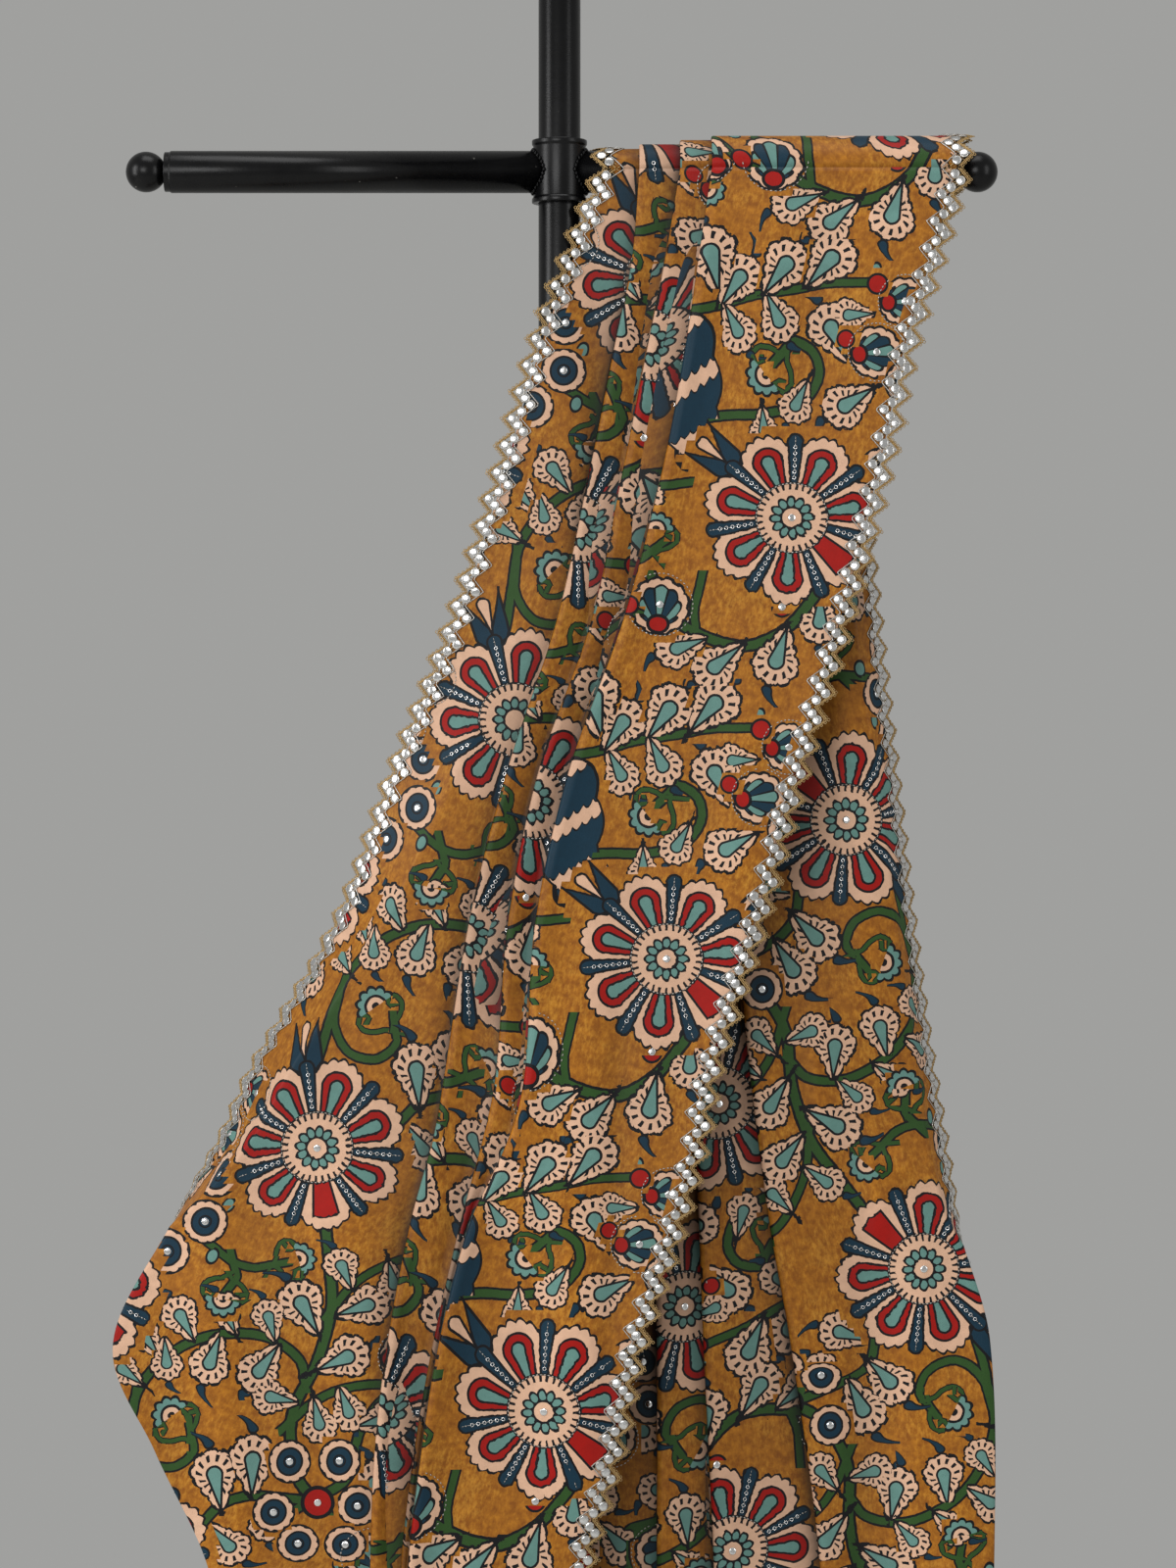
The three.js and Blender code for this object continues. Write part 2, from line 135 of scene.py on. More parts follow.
TURNED_COLUMNS = "drop left fold1 fold2 fold3 right curl tuck1 tuck2 tuck3 layer".split()
TURNED = np.array([
    [70, 29, 45, 63, 97, 188, 0, 14, 16, 18, 1.4],
    [160, 29, 48, 68, 102, 200, 34, 18, 22, 28, 1.6],
    [240, 31, 51, 73, 107, 205, 48, 24, 28, 36, 1.8],
    [400, 27, 55, 79, 113, 223, 56, 32, 34, 44, 2],
    [560, 24, 59, 86, 123, 243, 62, 38, 40, 48, 2],
    [700, 22, 63, 93, 140, 266, 74, 40, 42, 50, 2],
    [780, 21, 65, 96, 154, 288, 180, 40, 42, 50, 2],
    [930, 21, 65, 103, 174, 291, 180, 40, 42, 50, 2],
    [1100, 20, 66, 107, 181, 284, 180, 40, 42, 50, 2],
    [1260, 20, 66, 109, 185, 279, 180, 40, 42, 50, 2],
], float)

# Where the unseen left border would lie if the cloth kept straight on past its turned edge.
LEFT_BORDER = np.array([
    [0, 33], [60, 9], [120, -13], [200, -36], [300, -67], [400, -107], [500, -151], [600, -200],
    [700, -257], [780, -292], [850, -322], [930, -358], [1050, -403], [1200, -445], [1360, -470],
], float)
# A line of flower centres down the turned stretch, and how far each row of them is along.
TURNED_LINE = np.array([
    [70, 131], [432, 192], [733, 244], [800, 254], [930, 262], [1260, 262],
], float)

# Creases: from (x, drop) to (x, drop), how wide, and how far they stand proud of the cloth.
FRONT_CREASES = [
    (-35, 560, -20, 700, 30, 4.0),
    (-160, 640, -110, 1000, 22, 3.0),
    (-98, 690, -112, 930, 9, -2.4),
    (20, 70, 30, 330, 10, -1.2),
    (150, 28, 240, 38, 7, 1.6),
    (120, 62, 205, 56, 6, 1.3),
    (95, 385, 175, 372, 6, 1.2),
    (30, 222, 60, 216, 6, 1.0),
    (0, 335, 45, 345, 8, 1.4),
    (60, 470, 130, 455, 12, 1.6),
    (-10, 500, -24, 760, 8, 1.8),
    (10, 620, 0, 900, 18, 3.2),
    (40, 560, 30, 860, 9, -1.6),
    (-240, 700, -200, 1040, 26, 3.5),
    (-205, 760, -190, 1200, 14, -2.5),
    (-60, 900, -70, 1340, 16, 3.0),
    (-30, 960, -36, 1350, 10, -2.2),
    (-160, 980, -165, 1350, 18, 3.2),
]
BACK_CREASES = [
    (225, 260, 250, 1240, 12, 3.0),
    (160, 180, 168, 900, 10, 2.2),
    (110, 300, 112, 1200, 9, 2.0),
    (45, 120, 40, 1230, 10, 2.6),
    (210, 90, 190, 420, 8, -1.4),
    (185, 640, 215, 600, 9, 1.8),
    (60, 520, 100, 500, 8, 1.5),
]
TURNED_CREASES = [
    (214, 655, 232, 668, 7, 3.2),
    (206, 640, 212, 720, 6, 2.2),
    (185, 300, 205, 560, 10, 2.4),
    (232, 700, 240, 960, 14, 3.4),
    (196, 720, 205, 1200, 10, -2.0),
    (260, 860, 262, 1240, 14, 3.0),
    (170, 560, 176, 700, 7, 1.8),
]


def unit(vectors):
    """The same directions, each of length one."""
    return vectors / np.maximum(np.linalg.norm(vectors, axis=-1, keepdims=True), 1e-9)


def full_turn(count):
    return np.linspace(0, 2 * math.pi, count, endpoint=False)


def ring_quads(rows, around):
    """Quads over rows of points that each close on themselves."""
    index = np.arange(rows * around).reshape(rows, around)
    right = np.roll(index, -1, axis=1)
    return np.stack([index[:-1], right[:-1], right[1:], index[1:]], -1).reshape(-1, 4)


def mesh_object(name, points, faces, finish, smooth=True):
    """One mesh piece from an array of points in millimetres and arrays of faces."""
    mesh = bpy.data.meshes.new(name)
    faces = [np.asarray(f, np.int32) for f in faces if len(f)]
    corners = np.concatenate([f.ravel() for f in faces])
    sizes = np.concatenate([np.full(len(f), f.shape[1], np.int32) for f in faces])
    starts = np.concatenate([[0], np.cumsum(sizes)[:-1]]).astype(np.int32)
    mesh.vertices.add(len(points))
    mesh.vertices.foreach_set("co", (np.asarray(points, np.float32) * MM).ravel())
    mesh.loops.add(len(corners))
    mesh.loops.foreach_set("vertex_index", corners)
    mesh.polygons.add(len(sizes))
    mesh.polygons.foreach_set("loop_start", starts)
    mesh.update(calc_edges=True)
    flags = np.broadcast_to(np.asarray(smooth, bool), (len(sizes),)).copy()
    mesh.polygons.foreach_set("use_smooth", flags)
    mesh.materials.append(finish)
    mesh.validate()
    piece = bpy.data.objects.new(name, mesh)
    bpy.context.scene.collection.objects.link(piece)
    return piece


def add_piece(piece, slot_name, *nodes):
    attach(piece, "root")
    if nodes:
        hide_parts(*nodes)
    return piece


def make_camera():
    """The photograph's view: level, square on and from well back."""
    camera = bpy.data.cameras.new("camera")
    camera.sensor_fit = "AUTO"
    camera.sensor_width = 36.0
    camera.lens = 104.0
    camera.clip_end = 30.0
    holder = bpy.data.objects.new("camera", camera)
    holder.location = (0.019, -3.02, 1.012)
    holder.rotation_euler = (math.pi / 2, 0.0, 0.0)
    bpy.context.scene.collection.objects.link(holder)
    bpy.context.scene.camera = holder


# Curves and sections of the cloth


def column_at(columns, rows, name, drops):
    """A smooth curve through one column of a table, read at many drops."""
    values = rows[:, columns.index(name)]
    keys = rows[:, 0]
    last = len(keys) - 1
    after = np.minimum(np.arange(last + 1) + 1, last)
    before = np.maximum(np.arange(last + 1) - 1, 0)
    slope = (values[after] - values[before]) / (keys[after] - keys[before])
    i = np.clip(np.searchsorted(keys, drops, side="left") - 1, 0, last - 1)
    span = keys[i + 1] - keys[i]
    t = np.clip((drops - keys[i]) / span, 0, 1)
    t2 = t * t
    t3 = t2 * t
    start = (2 * t3 - 3 * t2 + 1) * values[i] + (t3 - 2 * t2 + t) * span * slope[i]
    end = (3 * t2 - 2 * t3) * values[i + 1] + (t3 - t2) * span * slope[i + 1]
    return start + end


def read_rows(columns, rows, drops):
    """Every column of a table at many drops, by name."""
    return {name: column_at(columns, rows, name, drops) for name in columns}


def soft_step(value, low, high):
    t = np.clip((value - low) / (high - low), 0, 1)
    return t * t * (3 - 2 * t)


class Section:
    """Cross-sections of a stretch, one for each drop, built point by point from left to right."""

    FIELDS = ("x", "h", "nx", "nh", "flat")

    def __init__(self, count):
        self.count = count
        self.columns = []
        self.zone = []

    def put(self, x, h, nx, nh, zone, flat=None):
        """A point at x and height h, its face direction, its strip and where it lies flat."""
        values = (x, h, nx, nh, x if flat is None else flat)
        self.columns.append([np.zeros(self.count) + value for value in values])
        self.zone.append(zone)

    def run(self, x0, x1, h0, h1, n, facing, zone):
        """Points between two ends, without the ends."""
        for k in range(1, n):
            f = k / n
            self.put(x0 + (x1 - x0) * f, h0 + (h1 - h0) * f, 0, facing, zone)

    def bend(self, x, h, layer, side, facing, zone):
        """Half a turn of cloth round a fold."""
        for turn in (-1.0, -0.5, 0.0, 0.5, 1.0):
            cos = math.cos(turn * math.pi / 2) * side
            sin = math.sin(turn * math.pi / 2)
            self.put(x + cos * layer / 2, h + sin * layer / 2, facing * cos, facing * sin, zone)

    def done(self):
        fields = {name: np.stack(some, 1) for name, some in zip(self.FIELDS, zip(*self.columns))}
        return {**fields, "zone": self.zone}


def lip_root(edge, length, curl, side):
    """Where a strip is level again past its turned-under border."""
    turn = np.radians(np.clip(curl, 0.5, 180))
    radius = math.pi * LIP_RADIUS / turn
    short = radius * np.sin(turn) + (length - math.pi * LIP_RADIUS) * np.cos(turn)
    return edge + side * np.where(turn < np.pi / 2, short, radius)


def lip_points(section, edge, length, curl, side, zone, level):
    """The border that is turned under, from its free end to where the strip is level."""
    turn = np.radians(np.clip(curl, 0.5, 180))
    round_run = math.pi * LIP_RADIUS
    radius = round_run / turn
    straight = length - round_run
    root = lip_root(edge, length, curl, side)
    lace = [(1.0, straight - MARGIN * k / 4) for k in range(4)]
    plain = [(1.0, (straight - MARGIN) * (1 - k / 4)) for k in range(4)]
    bend = [(1 - k / 4, 0.0) for k in range(5)]
    for share, along in (lace + plain + bend)[::side]:
        a = turn * share
        x = root - side * (radius * np.sin(a) + along * np.cos(a))
        h = radius * (np.cos(a) - 1) - along * np.sin(a) + level
        flat = root - side * (round_run * share + along)
        section.put(x, h, -side * np.sin(a), np.cos(a), zone, flat)
    return root


def pleated_section(row, counts, lip_left=0.0, lip_right=0.0):
    """Points along the middle of a pleated stretch: strips 0 to 3, each tucked under the next."""
    layer = row["layer"]
    hidden = counts["hidden"]
    section = Section(len(layer))
    inset = layer / 2 + CLOTH_HALF
    if lip_left:
        x = lip_points(section, row["left"], lip_left, row["curl"], 1, 0, 0.0)
    else:
        x = row["left"] + MARGIN / 2
        for k in range(4):
            section.put(row["left"] + MARGIN / 2 * k / 3, 0, 0, 1, 0)
    for k in (1, 2, 3):
        level = (2 * k - 2) * layer
        fold = row["fold%d" % k]
        inner = fold + row["tuck%d" % k] - inset
        shown = np.minimum(np.maximum(fold + UNDER_FOLD, x + LEAST_STRIP), inner - LEAST_TUCK)
        section.run(x, shown, level, level, counts["shown"][k - 1], 1, k - 1)
        section.put(shown, level, 0, 1, k - 1)
        section.run(shown, inner, level, level, hidden, 1, None)
        section.bend(inner, level + layer / 2, layer, 1, -1, None)
        x = fold + inset
        section.run(inner, x, level + layer, level + layer, hidden, -1, None)
        section.bend(x, level + 1.5 * layer, layer, -1, 1, k)
    top = 6 * layer
    count = counts["shown"][3]
    if lip_right:
        root = lip_root(row["right"], lip_right, row["curl"], -1)
        section.run(x, root, top, top, count, 1, 3)
        lip_points(section, row["right"], lip_right, row["curl"], -1, 3, top)
        return section.done()
    deepest = np.maximum.reduce([row["fold%d" % k] + row["tuck%d" % k] for k in (1, 2, 3)])
    margin = row["right"] - MARGIN
    ramp = np.minimum(deepest + LEAST_STRIP, margin - LEAST_TUCK)
    fall = np.clip(RAMP_SLOPE * (margin - deepest - LEAST_STRIP), 0, 5 * layer)
    before = max(2, int(count * 0.55))
    section.run(x, ramp, top, top, before, 1, 3)
    section.put(ramp, top, 0, 1, 3)
    section.run(ramp, margin, top, top - fall, count - before, 1, 3)
    for k in range(5):
        section.put(margin + MARGIN * k / 4, top - fall, 0, 1, 3)
    return section.done()


def crease_field(x, drop, creases):
    """How far the creases push the cloth out at each (x, drop)."""
    out = np.zeros_like(x)
    for x0, d0, x1, d1, width, height in creases:
        dx, dd = x1 - x0, d1 - d0
        along = ((x - x0) * dx + (drop - d0) * dd) / (dx * dx + dd * dd)
        off = ((x - x0) * dd - (drop - d0) * dx) / math.hypot(dx, dd)
        ends = soft_step(along, -0.12, 0.22) * (1 - soft_step(along, 0.78, 1.12))
        out += height * ends * np.exp(-((off / width) ** 2))
    return out


def ripple(x, drop, seed):
    """Slow unevenness of hanging silk."""
    rng = np.random.default_rng(seed)
    out = np.zeros_like(x)
    for _ in range(7):
        angle = rng.uniform(-0.45, 0.25)
        length = rng.uniform(46, 120)
        across = x * math.cos(angle) - drop * math.sin(angle) * 0.35
        along = rng.uniform(260, 700)
        wave = np.sin(across * 2 * math.pi / length + rng.uniform(0, 6.3))
        swell = np.sin(drop * 2 * math.pi / along + x / 190 + rng.uniform(0, 6.3))
        out += wave * (0.55 + 0.45 * swell) * rng.uniform(0.15, 0.42)
    return out


def numeric_normals(points, hint):
    """Unit normals of a grid of points, on the side that the hint is on."""
    normal = unit(np.cross(np.gradient(points, axis=1), np.gradient(points, axis=0)))
    flip = np.sum(normal * hint, axis=2, keepdims=True) < 0
    return np.where(flip, -normal, normal)


def shell_arrays(points, normals, thickness):
    """A closed thin shell over a grid: its points, its faces, and which faces are its rim."""
    rows, cols = points.shape[:2]
    face = (points + normals * thickness / 2).reshape(-1, 3)
    back = (points - normals * thickness / 2).reshape(-1, 3)
    grid = np.arange(rows * cols).reshape(rows, cols)
    far = grid + rows * cols
    a, b, c, d = grid[:-1, :-1], grid[1:, :-1], grid[1:, 1:], grid[:-1, 1:]
    front_quads = np.stack([a, b, c, d], -1).reshape(-1, 4)
    back_quads = front_quads[:, ::-1] + rows * cols
    rims = [
        np.stack([grid[:-1, 0], far[:-1, 0], far[1:, 0], grid[1:, 0]], -1),
        np.stack([grid[:-1, -1], grid[1:, -1], far[1:, -1], far[:-1, -1]], -1),
        np.stack([grid[0, :-1], grid[0, 1:], far[0, 1:], far[0, :-1]], -1),
        np.stack([grid[-1, :-1], far[-1, :-1], far[-1, 1:], grid[-1, 1:]], -1),
    ]
    quads = np.concatenate([front_quads, back_quads] + rims)
    facing = np.cross(points[1:, :-1] - points[:-1, :-1], points[:-1, 1:] - points[:-1, :-1])
    if (facing * normals[:-1, :-1]).sum() < 0:
        quads = quads[:, ::-1]
    smooth = np.arange(len(quads)) < 2 * len(front_quads)
    return np.concatenate([face, back]), quads, smooth


# Where each point of a drape lies on the flat cloth: u across it, v along it

LEFT_BORDER_U = -7.0
LEFT_TOP_V = 668.0
RIGHT_BORDER_U = CLOTH_WIDTH - 5.0
RIGHT_TOP_V = 709.0
STRIP_ACROSS = 0.93
STRIP_LEAN = 0.36


def border_run(keys, values, drops):
    """X of a border at each drop, its slope in radians, and the length run down it."""
    fine = np.arange(0, 1401, 5.0)
    x = np.interp(fine, keys, values)
    kernel = np.hanning(31)
    kernel /= kernel.sum()
    padded = np.pad(np.gradient(x, fine), 15, mode="edge")
    angle = np.arctan(-np.convolve(padded, kernel, mode="valid"))
    run = np.concatenate([[0], np.cumsum(np.hypot(np.diff(x), np.diff(fine)))])
    return [np.interp(drops, fine, each)[:, None] for each in (x, angle, run)]


def left_zone(flat, drops):
    """The strip beside the left border, which it follows."""
    edge, angle, run = border_run(LEFT_BORDER[:, 0], LEFT_BORDER[:, 1], drops)
    off = flat - edge
    return off * np.cos(angle) + LEFT_BORDER_U, LEFT_TOP_V - run + off * np.sin(angle)


def strip_zone(flat, fold, drops, centre, known):
    """A narrow strip that shows a half flower at each known (drop, along) of its fold."""
    along = np.interp(drops, *zip(*known))
    off = flat - fold[:, None]
    return centre + off * STRIP_ACROSS, along[:, None] + off * STRIP_LEAN


def by_strip(section, maps):
    """Takes each column's places from its own strip's map, and goes on with them under folds."""
    u = np.zeros_like(section["flat"])
    v = np.zeros_like(u)
    for j, zone in enumerate(section["zone"]):
        if zone is not None:
            u[:, j] = maps[zone][0][:, j]
            v[:, j] = maps[zone][1][:, j]
    return fill_hidden(u, v, section)


def right_zone(flat, drops):
    """The wide strip beside the front's right border, which it follows."""
    keys = np.arange(0, 1401, 20.0)
    edge = column_at(FRONT_COLUMNS, FRONT, "right", np.minimum(keys, FRONT_HEM))
    edge, angle, run = border_run(keys, edge, drops)
    off = edge - flat
    return RIGHT_BORDER_U - off * np.cos(angle), RIGHT_TOP_V - run - off * np.sin(angle)


def shown_columns(section, strip):
    return [j for j, zone in enumerate(section["zone"]) if zone == strip]


def hidden_spans(zones):
    """First and last column of each run of points that is under a fold."""
    spans = []
    for j, zone in enumerate(zones):
        if zone is None and zones[j - 1] is not None:
            spans.append([j, j])
        elif zone is None:
            spans[-1][1] = j
    return spans


def slope_between(field, run, near, far):
    """How fast a field rises along the cloth between two of its columns."""
    return (field[:, near] - field[:, far]) / np.maximum(run[:, near] - run[:, far], 0.5)


def fill_hidden(u, v, section):
    """Carries the print on under each fold, from both its sides to the middle of the tuck."""
    step = np.hypot(np.diff(section["x"], axis=1), np.diff(section["h"], axis=1))
    run = np.concatenate([np.zeros((len(step), 1)), np.cumsum(step, axis=1)], axis=1)
    for first, last in hidden_spans(section["zone"]):
        before, after = first - 1, last + 1
        for field in (u, v):
            rises = {before: slope_between(field, run, before - 1, before - 4),
                     after: slope_between(field, run, after + 9, after + 6)}
            for j in range(first, last + 1):
                end = before if 2 * j <= first + last else after
                field[:, j] = field[:, end] + rises[end] * (run[:, j] - run[:, end])
    return u, v


# The stretches of cloth

# How many steps each strip has across what shows of it, and across what is under a fold.
COUNTS_FRONT = {"shown": (38, 9, 7, 40), "hidden": 5}
COUNTS_BACK = {"shown": (12, 12, 12, 30), "hidden": 4}
COUNTS_TURNED = {"shown": (8, 12, 12, 34), "hidden": 4}


def strip_marks(known):
    """A strip's known flowers, with the print's own pace above the first and below the last."""
    top, bottom = known[0], known[-1]
    return [(top[0] - 600, top[1] + 640), *known, (bottom[0] + 900, bottom[1] - 960)]


FLOWER_ROWS_1 = strip_marks([(239, 305.0), (506, 0.0), (824, -305.0)])
FLOWER_ROWS_2 = strip_marks([(116, 457.5), (418, 152.5), (727, -152.5)])


def front_places(section, row, drops):
    """Where the points of the front stretch lie on the flat cloth."""
    flat = section["flat"]
    return by_strip(section, [
        left_zone(flat, drops),
        strip_zone(flat, row["fold1"], drops, TILE_ACROSS + FIRST_FLOWER, FLOWER_ROWS_1),
        strip_zone(flat, row["fold2"], drops, TILE_ACROSS + SECOND_FLOWER, FLOWER_ROWS_2),
        right_zone(flat, drops),
    ])


def back_places(section, drops, over):
    """Places on the back stretch: each strip goes on from the same strip over the arm."""
    x = section["x"]
    u = np.zeros_like(x)
    v = np.zeros_like(x)
    for strip in range(4):
        here = shown_columns(section, strip)
        above = shown_columns(over, strip)
        end = -1 if strip in (0, 3) else 0
        top_u, top_v = over["u"][-1, above], over["v"][-1, above]
        order = np.argsort(top_u)
        u[:, here] = top_u[end] + x[:, here] - x[:, here[end]][:, None]
        v[:, here] = np.interp(u[:, here], top_u[order], top_v[order]) + drops[:, None] * 1.02
    return fill_hidden(u, v, section)


def turned_strip(flat, drops, centre, keys, line, along):
    """A narrow strip of the turned stretch, from its middle line and the print along it."""
    off = np.interp(drops, keys, line)[:, None] - flat
    return centre + off, np.interp(drops, keys, along)[:, None] - off * 0.1


def turned_places(section, drops):
    """The turned stretch shows the cloth the other way up, its border at the right."""
    flat = section["flat"]
    line = np.interp(drops, TURNED_LINE[:, 0], TURNED_LINE[:, 1])
    angle = np.arctan(np.gradient(line, drops))[:, None]
    off = line[:, None] - flat
    run = np.interp(drops, [0, 432, 733, 1400], [-437.0, 0.0, 305.0, 985.0])[:, None]
    return by_strip(section, [
        (TILE_ACROSS + 240.0 - flat, run + 0 * flat),
        turned_strip(flat, drops, TILE_ACROSS + FIRST_FLOWER,
                     [0, 759, 1400], [66, 84, 92], [-460.0, 305.0, 950.0]),
        turned_strip(flat, drops, SECOND_FLOWER,
                     [0, 623, 1400], [85, 107, 130], [-460.0, 152.5, 942.5]),
        (FIRST_FLOWER + off * np.cos(angle), run - off * np.sin(angle)),
    ])


# How much shade is painted into the cloth's colour, in shares, and over how many millimetres.
SHADE_OF_LIFT = -0.085
SHADE_UNDER_FOLD = 0.72
SHADE_BY_FOLD, BY_FOLD = 0.58, 5.0
SHADE_FROM_FOLD, FROM_FOLD = 0.36, 22.0
SHADE_BEHIND_FRONT, BEHIND_FRONT = 0.42, 24.0


def fold_shade(section, row, drops, lift):
    """How much shade is painted into the cloth's colour under and beside each fold's edge and down
    in its creases, with a painted highlight on its ridges.
    """
    shade = np.clip(lift * SHADE_OF_LIFT, -0.16, 0.38)
    for j, zone in enumerate(section["zone"]):
        if zone is None:
            shade[:, j] = SHADE_UNDER_FOLD
        elif zone < 3:
            gap = np.maximum(row["fold%d" % (zone + 1)] - section["x"][:, j], 0)
            uneven = 0.75 + 0.25 * np.sin(drops / 83 + zone * 2)
            near = SHADE_BY_FOLD * np.exp(-gap / BY_FOLD)
            wide = SHADE_FROM_FOLD * np.exp(-gap / FROM_FOLD)
            shade[:, j] += uneven * (near + wide)
    return shade


def placed(section, row, drops, y_of, facing, creases, seed, calm_top):
    """Puts a section's points in space, with its creases: points, hints and the shade to paint into
    its colour.
    """
    x = section["x"]
    drop = np.broadcast_to(drops[:, None], x.shape)
    lift = crease_field(section["flat"], drop, creases) + ripple(x, drop, seed)
    shade = fold_shade(section, row, drops, lift)
    for k in (1, 2, 3):
        past = x - row["fold%d" % k][:, None]
        lift += FOLD_PUFF * soft_step(past, -0.5, 2.5) * np.exp(-np.maximum(past, 0) / 13)
    lift = lift * soft_step(drop, calm_top, calm_top + 60)
    y = y_of[:, None] + facing * (section["h"] + lift)
    points = np.stack([x, y, BAR_HEIGHT - drop], -1)
    hint = np.stack([section["nx"], facing * section["nh"], np.zeros_like(x)], -1)
    return points, hint, shade


def stretch(points, hint, shade, places, section):
    """All that is known of a stretch, as grids of rows down it and columns across it."""
    return {"points": points, "normals": numeric_normals(points, hint), "shade": shade,
            "u": places[0], "v": places[1], "zone": section["zone"]}


def front_stretch():
    """From the arm down to the front hem, finer where the photo shows it."""
    drops = np.concatenate([np.linspace(0, 930, 196), np.linspace(930, FRONT_HEM, 62)[1:]])
    row = read_rows(FRONT_COLUMNS, FRONT, drops)
    section = pleated_section(row, COUNTS_FRONT, lip_left=FRONT_LIP)
    y = -(OVER_TUBE + row["out"])
    made = placed(section, row, drops, y, -1, FRONT_CREASES, SEED, 14)
    return stretch(*made, front_places(section, row, drops), section)


def over_stretch(front):
    """Over the arm, from the first row of the front to the first row of the back."""
    angles = np.linspace(0, math.pi, 15)[:, None]
    drops = np.zeros(len(angles))
    row = read_rows(FRONT_COLUMNS, FRONT, drops)
    section = pleated_section(row, COUNTS_FRONT, lip_left=FRONT_LIP)
    reach = OVER_TUBE + section["h"]
    cos, sin = np.cos(angles), np.sin(angles)
    points = np.stack([section["x"], -reach * cos, BAR_HEIGHT + reach * sin], -1)
    hint = np.stack([section["nx"], -section["nh"] * cos, section["nh"] * sin], -1)
    u = np.broadcast_to(front["u"][0], reach.shape).copy()
    shade = fold_shade(section, row, drops, np.zeros_like(u))
    return stretch(points, hint, shade, (u, front["v"][0] + angles * reach), section)


def back_stretch(over):
    """From the arm down to the back hem, its face away from the front."""
    drops = np.linspace(0, BACK_HEM, 210)
    row = read_rows(BACK_COLUMNS, BACK, drops)
    section = pleated_section(row, COUNTS_BACK)
    y = OVER_TUBE + row["out"]
    made = placed(section, row, drops, y, 1, BACK_CREASES, SEED + 1, 60)
    return stretch(*made, back_places(section, drops, over), section)


def turned_stretch():
    """The left part of the back, folded round to face the front in the front's shade."""
    drops = np.linspace(TURNED_TOP, BACK_HEM, 216)
    row = read_rows(TURNED_COLUMNS, TURNED, drops)
    section = pleated_section(row, COUNTS_TURNED, lip_right=TURNED_LIP)
    y = OVER_TUBE + column_at(BACK_COLUMNS, BACK, "out", drops) - TURNED_BEHIND
    points, hint, shade = placed(section, row, drops, y, -1, TURNED_CREASES, SEED + 2, 80)
    # Painted shadow: the front's right border darkens this stretch's colour just beside it.
    gap = section["x"] - column_at(FRONT_COLUMNS, FRONT, "right", drops)[:, None]
    shade += SHADE_BEHIND_FRONT * np.exp(-(((gap - 4) / BEHIND_FRONT) ** 2))
    return stretch(points, hint, shade, turned_places(section, drops), section)


def give_values(piece, name, kind, domain, values):
    """Stores numbers on a mesh for its material to read."""
    made = piece.data.attributes.new(name, kind, domain)
    made.data.foreach_set("vector" if kind == "FLOAT_VECTOR" else "value",
                          np.asarray(values, np.float32).ravel())


def cloth_piece(name, cloth, finish, node):
    """A stretch as a thin shell that carries its places on the flat cloth, its painted shade and
    its print.
    """
    points, quads, smooth = shell_arrays(cloth["points"], cloth["normals"], CLOTH_THICK)
    piece = mesh_object(name, points, [quads], finish, smooth)
    places = np.stack([cloth["u"].ravel(), cloth["v"].ravel()], -1)
    places = np.concatenate([places, places])
    layer = piece.data.uv_layers.new(name="cloth")
    layer.data.foreach_set("uv", (places[quads.ravel()] * MM).astype(np.float32).ravel())
    shade = np.concatenate([cloth["shade"].ravel(), cloth["shade"].ravel()])
    give_values(piece, "shade", "FLOAT", "POINT", shade)
    motifs, vines = print_fields(places, quads)
    give_values(piece, "motif", "FLOAT_VECTOR", "CORNER", motifs)
    for k, vine in enumerate(vines):
        give_values(piece, "vine_%d" % k, "FLOAT", "CORNER", vine)
    return add_piece(piece, SILK_SLOT, node)


# Stand


def lathe(profile, sides=64):
    """Points and quads of a profile of (radius, z) turned about Z."""
    turn = full_turn(sides)
    rings = [np.stack([r * np.cos(turn), r * np.sin(turn), np.full(sides, z)], -1)
             for r, z in profile]
    return np.concatenate(rings), ring_quads(len(profile), sides)


def arc_profile(centre, radius, start, end, count):
    return [(radius * math.cos(a), centre + radius * math.sin(a))
            for a in np.linspace(start, end, count)]


def rounded(points, size, count=3):
    """A profile whose inner corners are rounded off a little."""
    out = [points[0]]
    for before, here, after in zip(points, points[1:], points[2:]):
        a, b, c = (np.array(p, float) for p in (before, here, after))
        cut = min(size, np.linalg.norm(a - b) / 2, np.linalg.norm(c - b) / 2)
        start, end = b + unit(a - b) * cut, b + unit(c - b) * cut
        for t in np.linspace(0, 1, count):
            out.append(tuple((1 - t) ** 2 * start + 2 * t * (1 - t) * b + t * t * end))
    out.append(points[-1])
    return out


def stand_piece(name, profile, finish, side=0):
    """A turned part of the stand, upright or lying along an arm."""
    points, quads = lathe(profile)
    if side:
        points, quads = laid_along(points, quads, side)
    return add_piece(mesh_object(name, points, [quads], finish), PAINT_SLOT, "stand_" + name)


def laid_along(points, quads, side):
    """Lays an upright part along the left (-1) or the right (1) arm, its faces still outward."""
    points = np.stack([points[:, 2] * side, points[:, 1], BAR_HEIGHT + points[:, 0]], -1)
    return points, quads[:, ::-1] if side > 0 else quads


def make_arm(name, side, length, finish):
    """A tube whose inner end is cut to the collar's round side."""
    spigot_end = length + SPIGOT - END_GAP
    outline = [(TUBE_RADIUS, 0), (TUBE_RADIUS, length), (SPIGOT_RADIUS, length + 0.6),
               (SPIGOT_RADIUS, spigot_end), (AXIS, spigot_end)]
    points, quads = lathe([(TUBE_BORE, 0)] + rounded(outline, 0.5))
    start = points[:, 2] < AXIS
    reach = COLLAR_RADIUS + END_GAP
    points[start, 2] = np.sqrt(reach ** 2 - points[start, 1] ** 2)
    points, quads = laid_along(points, quads, side)
    add_piece(mesh_object(name, points, [quads], finish), PAINT_SLOT, "stand_" + name)


